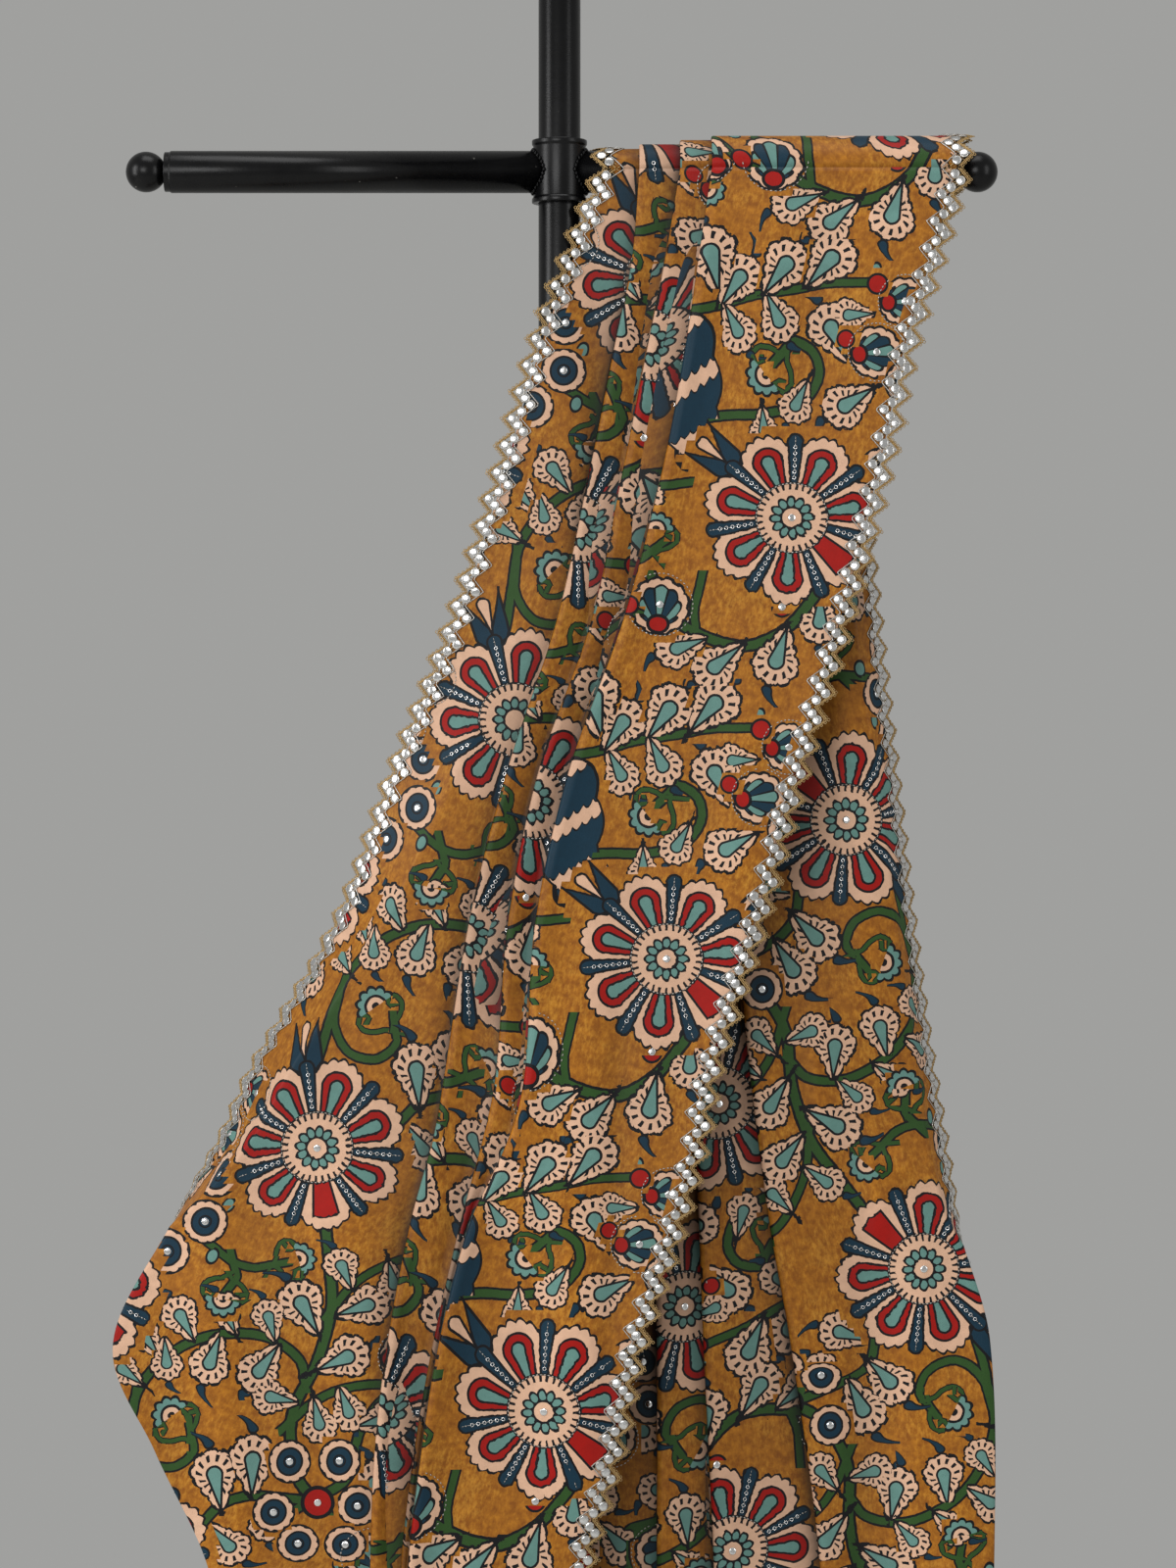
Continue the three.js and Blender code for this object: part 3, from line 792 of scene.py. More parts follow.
def ball_profile(foot, centre):
    """A ball on a narrow neck, from its foot up to its crown."""
    ball = arc_profile(centre, BALL_RADIUS, -1.1, math.pi / 2 - 0.001, 26)
    return [(AXIS, foot), (BALL_NECK, foot)] + ball


def make_stand(finish):
    """Base, post, collar, arms and balls, each on its solid's form."""
    base = [(AXIS, 0), (BASE_RADIUS - 3, 0), (BASE_RADIUS, 3), (BASE_RADIUS, 7),
            (BASE_RADIUS - 3, BASE_THICKNESS), (HUB_RADIUS, BASE_THICKNESS),
            (HUB_RADIUS - 4, HUB_HEIGHT), (AXIS, HUB_HEIGHT)]
    stand_piece("base", rounded(base, 1.6, 4), finish)
    foot = HUB_HEIGHT + END_GAP
    post = [(AXIS, foot), (TUBE_RADIUS, foot), (TUBE_RADIUS, POST_TOP), (AXIS, POST_TOP)]
    stand_piece("post", rounded(post, 0.8), finish)
    low, high = BAR_HEIGHT - COLLAR_HALF, BAR_HEIGHT + COLLAR_HALF
    bore = TUBE_RADIUS + TUBE_CLEAR
    collar = [(bore, low), (COLLAR_RIM, low), (COLLAR_RIM, low + 3), (COLLAR_RADIUS, low + 4),
              (COLLAR_RADIUS, high - 4), (COLLAR_RIM, high - 3), (COLLAR_RIM, high),
              (bore, high), (bore, low)]
    stand_piece("collar", rounded(collar, 0.6), finish)
    for name, end in ARM_ENDS.items():
        side = 1 if end > 0 else -1
        length = abs(end)
        make_arm("arm_" + name, side, length, finish)
        ball = ball_profile(length + SPIGOT, length + BALL_FROM_END)
        stand_piece("ball_" + name, ball, finish, side)
    stand_piece("ball_top", ball_profile(POST_TOP + END_GAP, POST_TOP + BALL_RADIUS), finish)


# Borders, and small things laid along them


def border_spine(rows, last):
    """The edge of a drape as places, and its outward and face directions."""
    edge, inner = (-1, -4) if last else (0, 3)
    place = rows["points"][:, edge]
    run = np.concatenate([[0], np.cumsum(np.linalg.norm(np.diff(place, axis=0), axis=1))])
    return {"run": run, "place": place, "outward": unit(place - rows["points"][:, inner]),
            "normal": rows["normals"][:, edge]}


def at_spine(spine, along, across, lift):
    """Places on a border: how far along it, how far outward and how far off its face."""
    def read(key):
        return np.stack([np.interp(along, spine["run"], spine[key][:, c]) for c in range(3)], -1)
    outward = unit(read("outward"))
    normal = read("normal")
    normal = unit(normal - outward * np.sum(normal * outward, -1, keepdims=True))
    place = read("place") + outward * across[:, None] + normal * lift
    return place, outward, normal, np.cross(outward, normal)


def scatter(template, places, first, second, third):
    """Copies of a small template at many places, each with its own three axes, as one mesh."""
    points, faces = template
    moved = (places[:, None, :] + points[None, :, 0:1] * first[:, None, :]
             + points[None, :, 1:2] * second[:, None, :] + points[None, :, 2:3] * third[:, None, :])
    step = np.arange(len(places)) * len(points)
    groups = [(np.asarray(f)[None] + step[:, None, None]).reshape(-1, len(f[0])) for f in faces]
    return moved.reshape(-1, 3), groups


def joined(parts):
    """Several (points, groups of faces) as one."""
    points, groups, start = [], [], 0
    for some, faces in parts:
        points.append(some)
        groups += [np.asarray(f) + start for f in faces]
        start += len(some)
    return np.concatenate(points), groups


def disc_template(radius, thickness, sides=11, domed=0.12):
    """A round foil mirror: flat face, turned-down edge."""
    crown = thickness + domed
    points, quads = lathe([(radius, 0.0), (radius, thickness * 0.6), (radius * 0.86, thickness),
                           (radius * 0.4, crown)], sides)
    last = np.arange(len(points) - sides, len(points))
    cap = np.stack([last, np.roll(last, -1), np.full(sides, len(points))], -1)
    return np.concatenate([points, [[0, 0, crown]]]), [quads, cap]


def ring_template(radius, thread, sides=10, around=3, lift=0.0, twist=0.0):
    """A ring of thread lying flat, a little uneven."""
    turn = full_turn(sides)[:, None]
    tube = full_turn(around)[None]
    wave = thread * (1 + twist * np.sin(turn * 7))
    reach = radius + wave * np.cos(tube)
    points = np.stack([reach * np.cos(turn), reach * np.sin(turn),
                       lift + wave * np.sin(tube)], -1).reshape(-1, 3)
    index = np.arange(sides * around).reshape(sides, around)
    ahead = np.roll(index, -1, axis=0)
    quads = np.stack([index, ahead, np.roll(ahead, -1, axis=1), np.roll(index, -1, axis=1)], -1)
    return points, [quads.reshape(-1, 4)]


def bead_template(length, width, height):
    """A short plump stitch along x."""
    points = np.array([[-length, 0, 0], [0, -width, 0], [0, 0, height], [0, width, 0],
                       [length, 0, 0], [0, 0, -height]], float)
    return points, [np.array([[1, 2, 0], [2, 3, 0], [2, 1, 4], [3, 2, 4], [5, 1, 0], [3, 5, 0],
                              [1, 5, 4], [5, 3, 4]])]


def thread_along(path, normal, radius, sides=4):
    """A thin cord through many points."""
    way = unit(np.gradient(path, axis=0))
    side = unit(np.cross(way, normal))
    up = np.cross(way, side)
    turn = full_turn(sides)[None, :, None]
    points = path[:, None] + (side[:, None] * np.cos(turn) + up[:, None] * np.sin(turn)) * radius
    return points.reshape(-1, 3), [ring_quads(len(path), sides)]


WELD_LUMPS = 34


def make_welds(finish):
    """A lumpy bead of weld where each arm meets the collar."""
    rng = np.random.default_rng(SEED + 30)
    turn = full_turn(WELD_LUMPS)
    reach = TUBE_RADIUS + 0.5 + rng.uniform(-0.3, 0.3, WELD_LUMPS)
    y, z = reach * np.cos(turn), reach * np.sin(turn)
    flat = np.zeros(WELD_LUMPS)
    outward = np.stack([flat, np.cos(turn), np.sin(turn)], -1)
    way = np.stack([flat, -np.sin(turn), np.cos(turn)], -1)
    lump = bead_template(2.2, 1.6, 1.2)
    parts = []
    for side in (-1, 1):
        x = side * (np.sqrt(COLLAR_RADIUS ** 2 - y ** 2) + 0.7)
        places = np.stack([x, y, BAR_HEIGHT + z], -1)
        parts.append(scatter(lump, places, way, outward, np.cross(way, outward)))
    add_piece(mesh_object("collar_welds", *joined(parts), finish), PAINT_SLOT)


# Lace: a zigzag of round mirrors between two cords, with picots on its outer side

LACE_PITCH = 18.5
LACE_SWING = 4.85
DISC_RADIUS = 3.2
CORD_OFF = 5.4
LACE_LIFT = 0.75
CORD_STEP = 1.4
WEB_STEP = 2.3
PICOT_STEP = 1.9


def zigzag(along):
    """How far across a border the middle of the lace is."""
    t = along / LACE_PITCH
    return LACE_SWING * (4 * np.abs(t - np.floor(t + 0.5)) - 1)


def lace_mirrors(spine, length, rng):
    """The mirrors on their zigzag, and the silver ring round each."""
    count = int(length / (LACE_PITCH / 4))
    along = (np.arange(count) + 0.5) * LACE_PITCH / 4 - LACE_PITCH / 8
    along = along[(along > 1) & (along < length - 1)]
    across = zigzag(along) + rng.uniform(-0.25, 0.25, len(along))
    place, out, normal, way = at_spine(spine, along, across, LACE_LIFT + 0.45)
    sway = [rng.normal(0, 0.05, (len(along), 1)) for _ in range(2)]
    tilt = unit(normal + out * sway[0] + way * sway[1])
    first = unit(np.cross(way, tilt))
    axes = (place, first, np.cross(tilt, first), tilt)
    ring = ring_template(DISC_RADIUS - 0.2, 0.34, lift=0.15, twist=0.35)
    return scatter(disc_template(DISC_RADIUS - 0.35, 0.35), *axes), scatter(ring, *axes)


def lace_cord(spine, length, shift, radius, waver=0.0):
    """One cord that follows the zigzag at its own distance."""
    along = np.arange(0.5, length - 0.5, CORD_STEP)
    across = zigzag(along) + shift + waver * np.sin(along * 2.4)
    path, _, face, _ = at_spine(spine, along, across, LACE_LIFT + 0.1)
    return thread_along(path, face, radius)


def lace_web(spine, length, shift, rng):
    """Slanting stitches between the mirrors and a cord."""
    along = np.arange(1.0, length - 1.0, WEB_STEP)
    place, out, face, way = at_spine(spine, along, zigzag(along) + shift, LACE_LIFT)
    lean = unit(way * rng.choice([-0.7, 0.7], (len(along), 1)) + out)
    return scatter(bead_template(CORD_OFF / 1.6, 0.32, 0.25), place, lean,
                   np.cross(face, lean), face)


def lace_picots(spine, length, rng):
    """Little loops of gold thread on the lace's outer side."""
    along = np.arange(1.0, length - 1.0, PICOT_STEP)
    across = zigzag(along) + CORD_OFF + 2.0 + rng.uniform(-0.2, 0.3, len(along))
    place, out, face, way = at_spine(spine, along, across, LACE_LIFT + 0.1)
    return scatter(ring_template(0.95, 0.34, 5, 3), place, out, -way, face)


def make_lace(name, rows, last, node, finishes, seed):
    """One lace along a stretch's first or last column, in the place of its solid."""
    rng = np.random.default_rng(seed)
    spine = border_spine(rows, last)
    length = spine["run"][-1]
    mirrors, rings = lace_mirrors(spine, length, rng)
    silver = [rings, lace_cord(spine, length, -CORD_OFF, 0.45)]
    gold = [lace_cord(spine, length, CORD_OFF, 0.5),
            lace_cord(spine, length, CORD_OFF + 1.3, 0.5, 0.28),
            lace_cord(spine, length, 0.0, 0.55)]
    gold += [lace_web(spine, length, shift, rng) for shift in (-CORD_OFF / 2, CORD_OFF / 2)]
    gold.append(lace_picots(spine, length, rng))
    parts = (("_mirrors", [mirrors], "mirror"), ("_silver_cords", silver, "silver"),
             ("_gold_thread", gold, "gold"))
    made = [mesh_object(name + part, *joined(some), finishes[finish])
            for part, some, finish in parts]
    for piece in made:
        add_piece(piece, LACE_SLOT)
    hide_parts(node)
    return made


# The print, charted on the flat cloth, in millimetres

FLOWERS = [(FIRST_FLOWER, 0, 307), (SECOND_FLOWER, 152, 332)]
FLOWER_RADIUS = 58.0
PETALS = 7
DISC_BEADS = 12

# Leaves from (u, v) at the foot to (u, v) at the tip.
LEAVES = [
    (19, 132, -4, 146), (37, 151, 13, 169), (60, 166, 40, 184), (86, 172, 70, 192),
    (16, 110, -8, 116), (52, 160, 54, 127), (90, 168, 82, 134), (20, 142, 32, 120),
    (98, 56, 76, 88), (113, 72, 98, 108), (121, 74, 136, 48), (97, 42, 126, 28),
    (118, -101, 144, -78), (111, -118, 80, -94), (121, -140, 145, -114), (115, -166, 88, -172),
    (118, -80, 98, -60), (134, -54, 150, -76), (139, -146, 158, -166), (126, -160, 142, -182),
    (311, -63, 304, -89), (286, -86, 292, -108), (258, -97, 262, -120),
    (245, -32, 256, 3), (270, -17, 284, 21), (296, -4, 313, 33), (248, -32, 268, -52),
    (272, -17, 293, -40), (241, -25, 219, 15),
    (287, 57, 260, 38), (311, 59, 290, 28), (337, 79, 336, 40), (352, 108, 360, 76),
    (334, -42, 308, -14), (342, -10, 318, -18), (354, -57, 328, -82),
    (222, -62, 196, -38), (196, 96, 176, 124), (212, -128, 190, -104),
    (228, 148, 204, 166), (236, 176, 218, 204), (188, 4, 166, 26), (176, -40, 196, -62),
    (160, 142, 184, 160), (208, -150, 232, -170), (214, -14, 190, -24),
]
BERRIES = [
    (127, -203, 14), (157, -189, 14), (180, -211, 14), (184, -240, 14), (155, -252, 14),
    (131, -238, 14), (3, -48, 15), (12, -79, 15), (-2, -108, 15),
]
SHELLS = [
    (352, -33, 19, 20), (361, 4, 18, 20), (205, 64, 22, 150),
    (252, 72, 22, 100), (207, 118, 20, 60), (172, 196, 20, 30),
]
BANDED = [(238, -88, 50, 100)]
LOTUSES = [
    (44, 98, 13, 150), (78, -76, 12, 40), (44, -122, 12, 280), (284, -64, 13, 235),
    (236, 122, 12, 100), (196, -82, 12, 80), (214, 40, 12, 330),
]
DROPS = [
    (20, -62, 6), (26, -98, 6), (-14, -62, 6), (155, -157, 5), (107, -222, 6), (204, -226, 7),
    (336, 18, 6), (374, -28, 6), (170, -170, 5), (228, 90, 6), (186, 50, 6),
]
BUDS = [(155, -220, 11), (330, 92, 7), (340, 10, 7), (330, -30, 6), (232, 66, 7)]

# Vines: how stout, and the (u, v) points of a smooth curve.
VINES = [
    (1.15, [(86, -48), (97, -68), (112, -98), (118, -135), (116, -168), (122, -190), (137, -211),
            (155, -220)]),
    (1.0, [(24, 54), (20, 80), (17, 106), (24, 130), (38, 150), (56, 163), (82, 171), (106, 166),
           (117, 152)]),
    (0.9, [(18, 96), (24, 76), (40, 64), (58, 68), (66, 82), (60, 93)]),
    (0.9, [(113, -100), (118, -80), (128, -62), (142, -46), (158, -38)]),
    (0.9, [(117, -180), (126, -162), (140, -146), (160, -134), (178, -130)]),
    (1.0, [(90, 38), (97, 58), (110, 70), (128, 77), (150, 84)]),
    (0.9, [(24, -92), (40, -96), (54, -94), (66, -86)]),
    (0.9, [(40, -96), (46, -104), (46, -108)]),
    (1.0, [(222, -118), (240, -104), (262, -95), (288, -88), (310, -76), (318, -58), (312, -44),
           (298, -40), (292, -48)]),
    (0.9, [(226, -41), (244, -32), (264, -20), (288, -9), (308, 1), (330, 8)]),
    (1.15, [(352, 116), (347, 100), (336, 78), (318, 62), (300, 58), (280, 60), (262, 66),
            (246, 84)]),
    (0.9, [(280, 60), (275, 74), (274, 90)]),
    (1.0, [(158, -38), (176, -44), (196, -34), (206, -14), (200, 10), (204, 36)]),
    (0.9, [(178, -130), (194, -124), (196, -108), (194, -98)]),
    (1.0, [(262, 66), (240, 62), (222, 72), (206, 98), (206, 128), (222, 148), (240, 156)]),
    (0.9, [(206, 98), (216, 92), (230, 98), (238, 108)]),
    (1.0, [(150, 84), (166, 108), (162, 140), (172, 170), (196, 186), (222, 187)]),
]

# Half of a lotus's double curl: (ahead of it, to its side) in shares of its size.
CURL = [(-1.45, 0.0), (-1.20, 0.28), (-0.98, 0.78), (-0.58, 1.18), (-0.10, 1.12), (0.02, 0.78),
        (-0.28, 0.66), (-0.40, 0.86)]
VINE_HALF = 2.5
VINE_LINE = 1.5


def smooth_curve(knots, step=1.6):
    """A Catmull-Rom curve through a short list of points, as places and directions."""
    p = np.array(knots, float)
    p = np.vstack([2 * p[0] - p[1], p, 2 * p[-1] - p[-2]])
    out = []
    for a, b, c, d in zip(p, p[1:], p[2:], p[3:]):
        count = max(2, int(np.linalg.norm(c - b) / step))
        t = np.linspace(0, 1, count, endpoint=False)[:, None]
        out.append(0.5 * ((2 * b) + (c - a) * t + (2 * a - 5 * b + 4 * c - d) * t * t
                          + (3 * b - a - 3 * c + d) * t ** 3))
    points = np.concatenate(out + [p[-2:-1]])
    return points, unit(np.gradient(points, axis=0))


KINDS = {"flower": 1, "leaf": 2, "berry": 3, "shell": 4, "lotus": 5, "drop": 6, "bud": 7,
         "banded": 8}
REACH = {"flower": (1.06, 1.0), "leaf": (1.36, 0.76), "berry": (1.04, 1.0), "shell": (1.06, 1.0),
         "lotus": (1.1, 1.0), "drop": (1.15, 0.8), "bud": (1.1, 1.0), "banded": (1.06, 0.46)}
RANK = {"flower": 0, "bud": 2, "berry": 4, "banded": 5, "shell": 6, "lotus": 8, "leaf": 10,
        "drop": 12}


def charted_motifs():
    """Every motif of one repeat: kind, centre, size and the way it points."""
    out = [("flower", u, v, FLOWER_RADIUS, turn) for u, v, turn in FLOWERS]
    for u0, v0, u1, v1 in LEAVES:
        size = math.hypot(u1 - u0, v1 - v0) * 0.52 + 4.4
        turn = math.degrees(math.atan2(v1 - v0, u1 - u0))
        out.append(("leaf", (u0 + u1) / 2, (v0 + v1) / 2, size, turn))
    out += [("berry", *spot, 0) for spot in BERRIES]
    out += [("shell", *spot) for spot in SHELLS]
    out += [("lotus", *spot) for spot in LOTUSES]
    out += [("banded", *spot) for spot in BANDED]
    out += [("drop", *spot, 90) for spot in DROPS]
    return out + [("bud", *spot, 0) for spot in BUDS]


def lotus_curls():
    """The pair of thin spirals that each lotus grows from."""
    out = []
    for u, v, size, turn in LOTUSES:
        way = math.radians(turn)
        cos, sin = math.cos(way) * size, math.sin(way) * size
        for hand in (1, -1):
            knots = [(u + a * cos - b * hand * sin, v + a * sin + b * hand * cos) for a, b in CURL]
            out.append((0.52, knots))
    return out


def wrapped(value, period):
    """The distance to the nearest repeat."""
    return value - np.round(value / period) * period


def motif_fields(corner, middle):
    """For each face its nearest motif, with the motif's own coordinates at the corners."""
    best = np.full(len(middle), 99.0)
    local = np.zeros((len(middle), 4, 3))
    for kind, u, v, size, turn in charted_motifs():
        off_u = wrapped(middle[:, 0] - u, TILE_ACROSS)
        off_v = wrapped(middle[:, 1] - v, TILE_ALONG)
        limit, squash = REACH[kind]
        index = np.nonzero(np.hypot(off_u, off_v) < size * limit * 1.5 + 8)[0]
        cos, sin = math.cos(math.radians(turn)), math.sin(math.radians(turn))
        x = (off_u[index] * cos + off_v[index] * sin) / size
        y = (-off_u[index] * sin + off_v[index] * cos) / size
        score = np.hypot(x, y / squash)
        if kind == "flower":
            score = np.where((x < -0.7) & (abs(y) < 0.36), score * 0.74, score)
        if kind == "lotus":
            score = np.where(x < -0.12, 99.0, score)
        wins = (score < limit + 2.0 / size) & (score + RANK[kind] < best[index])
        index = index[wins]
        best[index] = score[wins] + RANK[kind]
        shift = corner[index] - middle[index][:, None, :]
        cu = off_u[index][:, None] + shift[:, :, 0]
        cv = off_v[index][:, None] + shift[:, :, 1]
        local[index, :, 0] = (cu * cos + cv * sin) / size
        local[index, :, 1] = (-cu * sin + cv * cos) / size
        local[index, :, 2] = KINDS[kind]
    return local.reshape(-1, 3)


def vine_fields(corner, middle):
    """For each face its two nearest vines, as the corners' distances from their middle lines."""
    vine = np.full((2, len(middle), 4), 50.0)
    near = np.full((2, len(middle)), 1e9)
    for stout, knots in VINES + lotus_curls():
        points, ways = smooth_curve(knots)
        low, high = points.min(0) - 12, points.max(0) + 12
        half, centre = (high - low) / 2, (high + low) / 2
        off_u = wrapped(middle[:, 0] - centre[0], TILE_ACROSS)
        off_v = wrapped(middle[:, 1] - centre[1], TILE_ALONG)
        index = np.nonzero((abs(off_u) < half[0]) & (abs(off_v) < half[1]))[0]
        here = np.stack([off_u[index], off_v[index]], -1) + centre
        gap = np.linalg.norm(here[:, None, :] - points[None], axis=2)
        nearest = gap.argmin(1)
        distance = gap[np.arange(len(index)), nearest]
        keep = distance < 11
        index, here, nearest, distance = index[keep], here[keep], nearest[keep], distance[keep]
        at, way = points[nearest], ways[nearest]
        spot = corner[index] - middle[index][:, None, :] + here[:, None, :] - at[:, None, :]
        side = (spot[:, :, 0] * way[:, None, 1] - spot[:, :, 1] * way[:, None, 0]) / stout
        distance = distance / stout
        first = distance < near[0, index]
        a, b = index[first], index[~first]
        vine[1, a], near[1, a] = vine[0, a], near[0, a]
        vine[0, a], near[0, a] = side[first], distance[first]
        second = distance[~first] < near[1, b]
        vine[1, b[second]] = side[~first][second]
        near[1, b[second]] = distance[~first][second]
    return vine.reshape(2, -1)


def print_fields(places, quads):
    """What the silk's material reads at each face's corners to draw the print there."""
    corner = places[quads.ravel()].reshape(-1, 4, 2)
    middle = corner.mean(1)
    return motif_fields(corner, middle), vine_fields(corner, middle)


# Node helpers


class Value:
    """One number or colour running through a node tree, with plain arithmetic on it."""

    def __init__(self, graph, socket):
        self.graph = graph
        self.socket = socket

    def do(self, operation, *others, clamp=False):
        return self.graph.node("ShaderNodeMath", {"operation": operation, "use_clamp": clamp},
                               {k: v for k, v in enumerate((self, *others))})

    def __add__(self, other):
        return self.do("ADD", other)

    __radd__ = __add__

    def __sub__(self, other):
        return self.do("SUBTRACT", other)

    def __rsub__(self, other):
        return (self * -1.0) + other

    def __mul__(self, other):
        return self.do("MULTIPLY", other)

    __rmul__ = __mul__

    def __truediv__(self, other):
        return self.do("DIVIDE", other)

    def __lt__(self, other):
        return self.do("LESS_THAN", other)

    def __gt__(self, other):
        return self.do("GREATER_THAN", other)

    def abs(self):
        return self.do("ABSOLUTE")

    def sin(self):
        return self.do("SINE")

    def cos(self):
        return self.do("COSINE")

    def either(self, other):
        return self.do("MAXIMUM", other)

    def least(self, other):
        return self.do("MINIMUM", other)

    def clamped(self):
        """The same number, kept between 0 and 1."""
        return self.do("ADD", 0.0, clamp=True)


class Graph:
    """The nodes of one material."""

    def __init__(self, name):
        self.material = bpy.data.materials.new(name)
        self.material.use_nodes = True
        self.tree = self.material.node_tree
        self.shader = self.tree.nodes["Principled BSDF"]

    def node(self, kind, settings, inputs, output=0):
        made = self.tree.nodes.new(kind)
        for key, value in settings.items():
            setattr(made, key, value)
        for key, value in inputs.items():
            if isinstance(value, Value):
                self.tree.links.new(value.socket, made.inputs[key])
            else:
                made.inputs[key].default_value = value
        return Value(self, made.outputs[output])

    def mix(self, factor, first, second):
        return self.node("ShaderNodeMix", {"data_type": "RGBA"},
                         {0: factor, 6: colour(first), 7: colour(second)}, 2)

    def noise(self, where, scale, detail=2.0, rough=0.5):
        return self.node("ShaderNodeTexNoise", {}, {"Vector": where, "Scale": scale,
                         "Detail": detail, "Roughness": rough})

    def read(self, name, output=2):
        """A value stored on the mesh: its number, or its vector from output 1."""
        return self.node("ShaderNodeAttribute", {"attribute_name": name}, {}, output)

    def drawn_out(self, where, scales):
        return self.node("ShaderNodeMapping", {}, {0: where, 3: scales})

    def bump(self, height, strength, distance):
        return self.node("ShaderNodeBump", {}, {"Strength": strength, "Distance": distance,
                                                "Height": height})

    def object_place(self):
        return self.node("ShaderNodeTexCoord", {}, {}, 3)

    def set(self, **values):
        for key, value in values.items():
            socket = self.shader.inputs[key.replace("_", " ")]
            if isinstance(value, Value):
                self.tree.links.new(value.socket, socket)
            else:
                socket.default_value = value


def colour(value):
    if isinstance(value, Value):
        return value
    return (*value, 1.0) if len(value) == 3 else value


def srgb(r, g, b):
    """A noted colour, as the renderer wants it."""
    return tuple((c / 255 / 12.92 if c < 11 else ((c / 255 + 0.055) / 1.055) ** 2.4)
                 for c in (r, g, b))


MUSTARD = srgb(174, 112, 30)
MUSTARD_DEEP = srgb(140, 82, 20)
MUSTARD_GOLD = srgb(200, 142, 52)
PEACH = srgb(216, 174, 145)
RED = srgb(156, 15, 6)
TEAL = srgb(98, 138, 130)
NAVY = srgb(14, 47, 64)
GREEN = srgb(44, 76, 32)
INK = srgb(14, 14, 18)


class Inks:
    """Layers of printed colour, laid one over the other."""

    def __init__(self, graph, ground):
        self.graph = graph
        self.top = ground

    def lay(self, mask, ink):
        self.top = self.graph.mix(mask, self.top, ink)

    def outlined(self, on, field, line, fill, ink):
        """An inked shape in a dark outline, where the field is under each of two limits."""
        self.lay(on * (field < line), INK)
        self.lay(on * (field < fill), ink)


def oval(x, y, cx, rx, ry):
    a = (x - cx) / rx
    b = y / ry
    return (a * a + b * b).do("SQRT")


def wedge(x, y, foot, cap, narrow, wide):
    """Distance outside a drop that widens from its foot to a round cap."""
    share = ((x - foot) * (1 / (cap - foot))).clamped()
    past = (x - cap).either(0.0)
    return (past * past + y * y).do("SQRT") - (share * (wide - narrow) + narrow)


def flower_inks(inks, on, x, y, r, angle):
    """Seven scalloped petals and seven fingers round a ticked disc, with leaves behind."""
    one = 2 * math.pi / PETALS
    share = angle * (1 / one)
    turn = ((share + 0.5).do("FRACT") - 0.5) * one
    px = r * turn.cos()
    py = r * turn.sin()
    out = x * -1.0
    behind = on * (out > 0.8)
    blade = wedge(x, y.abs() - (out - 0.80) * 0.30 - 0.03, -1.42, -0.98, 0.0, 0.110)
    inks.outlined(behind, blade, 0.016, -0.014, NAVY)
    inks.outlined(behind * (out > 0.9), wedge(out, y, 0.98, 1.34, 0.0, 0.075), 0.014, -0.014, PEACH)
    ruffle = (1.0 - (turn * 25.0).cos().abs()) * (px - 0.66).either(0.0) * 0.13
    petal = wedge(px, py, 0.40, 0.725, 0.155, 0.305) + ruffle
    inks.outlined(on, petal, 0.016, -0.014, PEACH)
    stem = angle.abs() < (math.pi / PETALS)
    plain = on * (1.0 - stem)
    inks.outlined(plain, wedge(px, py, 0.40, 0.705, 0.092, 0.172), 0.014, -0.014, RED)
    inks.outlined(plain, wedge(px, py, 0.40, 0.705, 0.034, 0.080), 0.012, -0.014, TEAL)
    trap = (py.abs() - (px * 0.13 + 0.04)).either(px - 0.86 + py.abs() * 0.25)
    inks.outlined(on * stem, trap, 0.014, -0.014, RED)
    gap = (share.do("FRACT") - 0.5) * one
    finger = wedge(r * gap.cos(), r * gap.sin(), 0.40, 0.90, 0.040, 0.086)
    inks.outlined(on, finger, 0.012, -0.014, NAVY)
    inks.outlined(on, r, 0.422, 0.396, PEACH)
    ticks = ((angle * 30.0).sin() > 0.35) * (r > 0.330) * (r < 0.396)
    inks.lay(on * ticks, INK)
    bead = ((angle * (DISC_BEADS / (2 * math.pi))).do("FRACT") - 0.5) * (2 * math.pi / DISC_BEADS)
    beads = oval(r, bead * r, 0.183, 0.066, 0.048)
    inks.lay(on * (beads < 1.22), INK)
    inks.lay(on * (r < 0.190), INK)
    inks.lay(on * (beads < 0.76), TEAL)
    inks.lay(on * (r < 0.108), PEACH)


def leaf_inks(inks, on, x, y, wobble):
    """A scalloped leaf with dashes round a drop, and a hooked tip."""
    past = (x - 0.92).either(0.0)
    hook = wedge(x * -1.0, y - past * past * 2.4, -1.38, -0.98, 0.05, 0.135)
    inks.outlined(on * (x > 0.45) * (x < 1.40), hook, 0.030, -0.022, NAVY)
    around = y.do("ARCTAN2", x - 0.05)
    body = wedge(x, y, -0.90, 0.16, 0.07, 0.66)
    edge = body + (1.0 - (around * 5.5 + wobble * 4.0).cos().abs()) * 0.085
    inks.outlined(on, edge, 0.058, -0.030, PEACH)
    dashes = ((around * 13.0 + body * 4.0).sin() > 0.38) * (body > -0.33) * (body < -0.15)
    inks.lay(on * dashes, INK)
    inks.outlined(on, wedge(x, y, -0.76, 0.14, 0.02, 0.215), 0.030, -0.036, TEAL)


def berry_inks(inks, on, x, y, r, ruffle):
    inks.lay(on * (r < 1.02), INK)
    inks.lay(on * (r + ruffle < 0.93), PEACH)
    inks.lay(on * (oval(x, y, 0.0, 0.63, 0.68) < 1.0), INK)
    inks.lay(on * (oval(x, y, 0.0, 0.53, 0.58) < 1.0), NAVY)
    inks.outlined(on, r, 0.30, 0.22, NAVY)


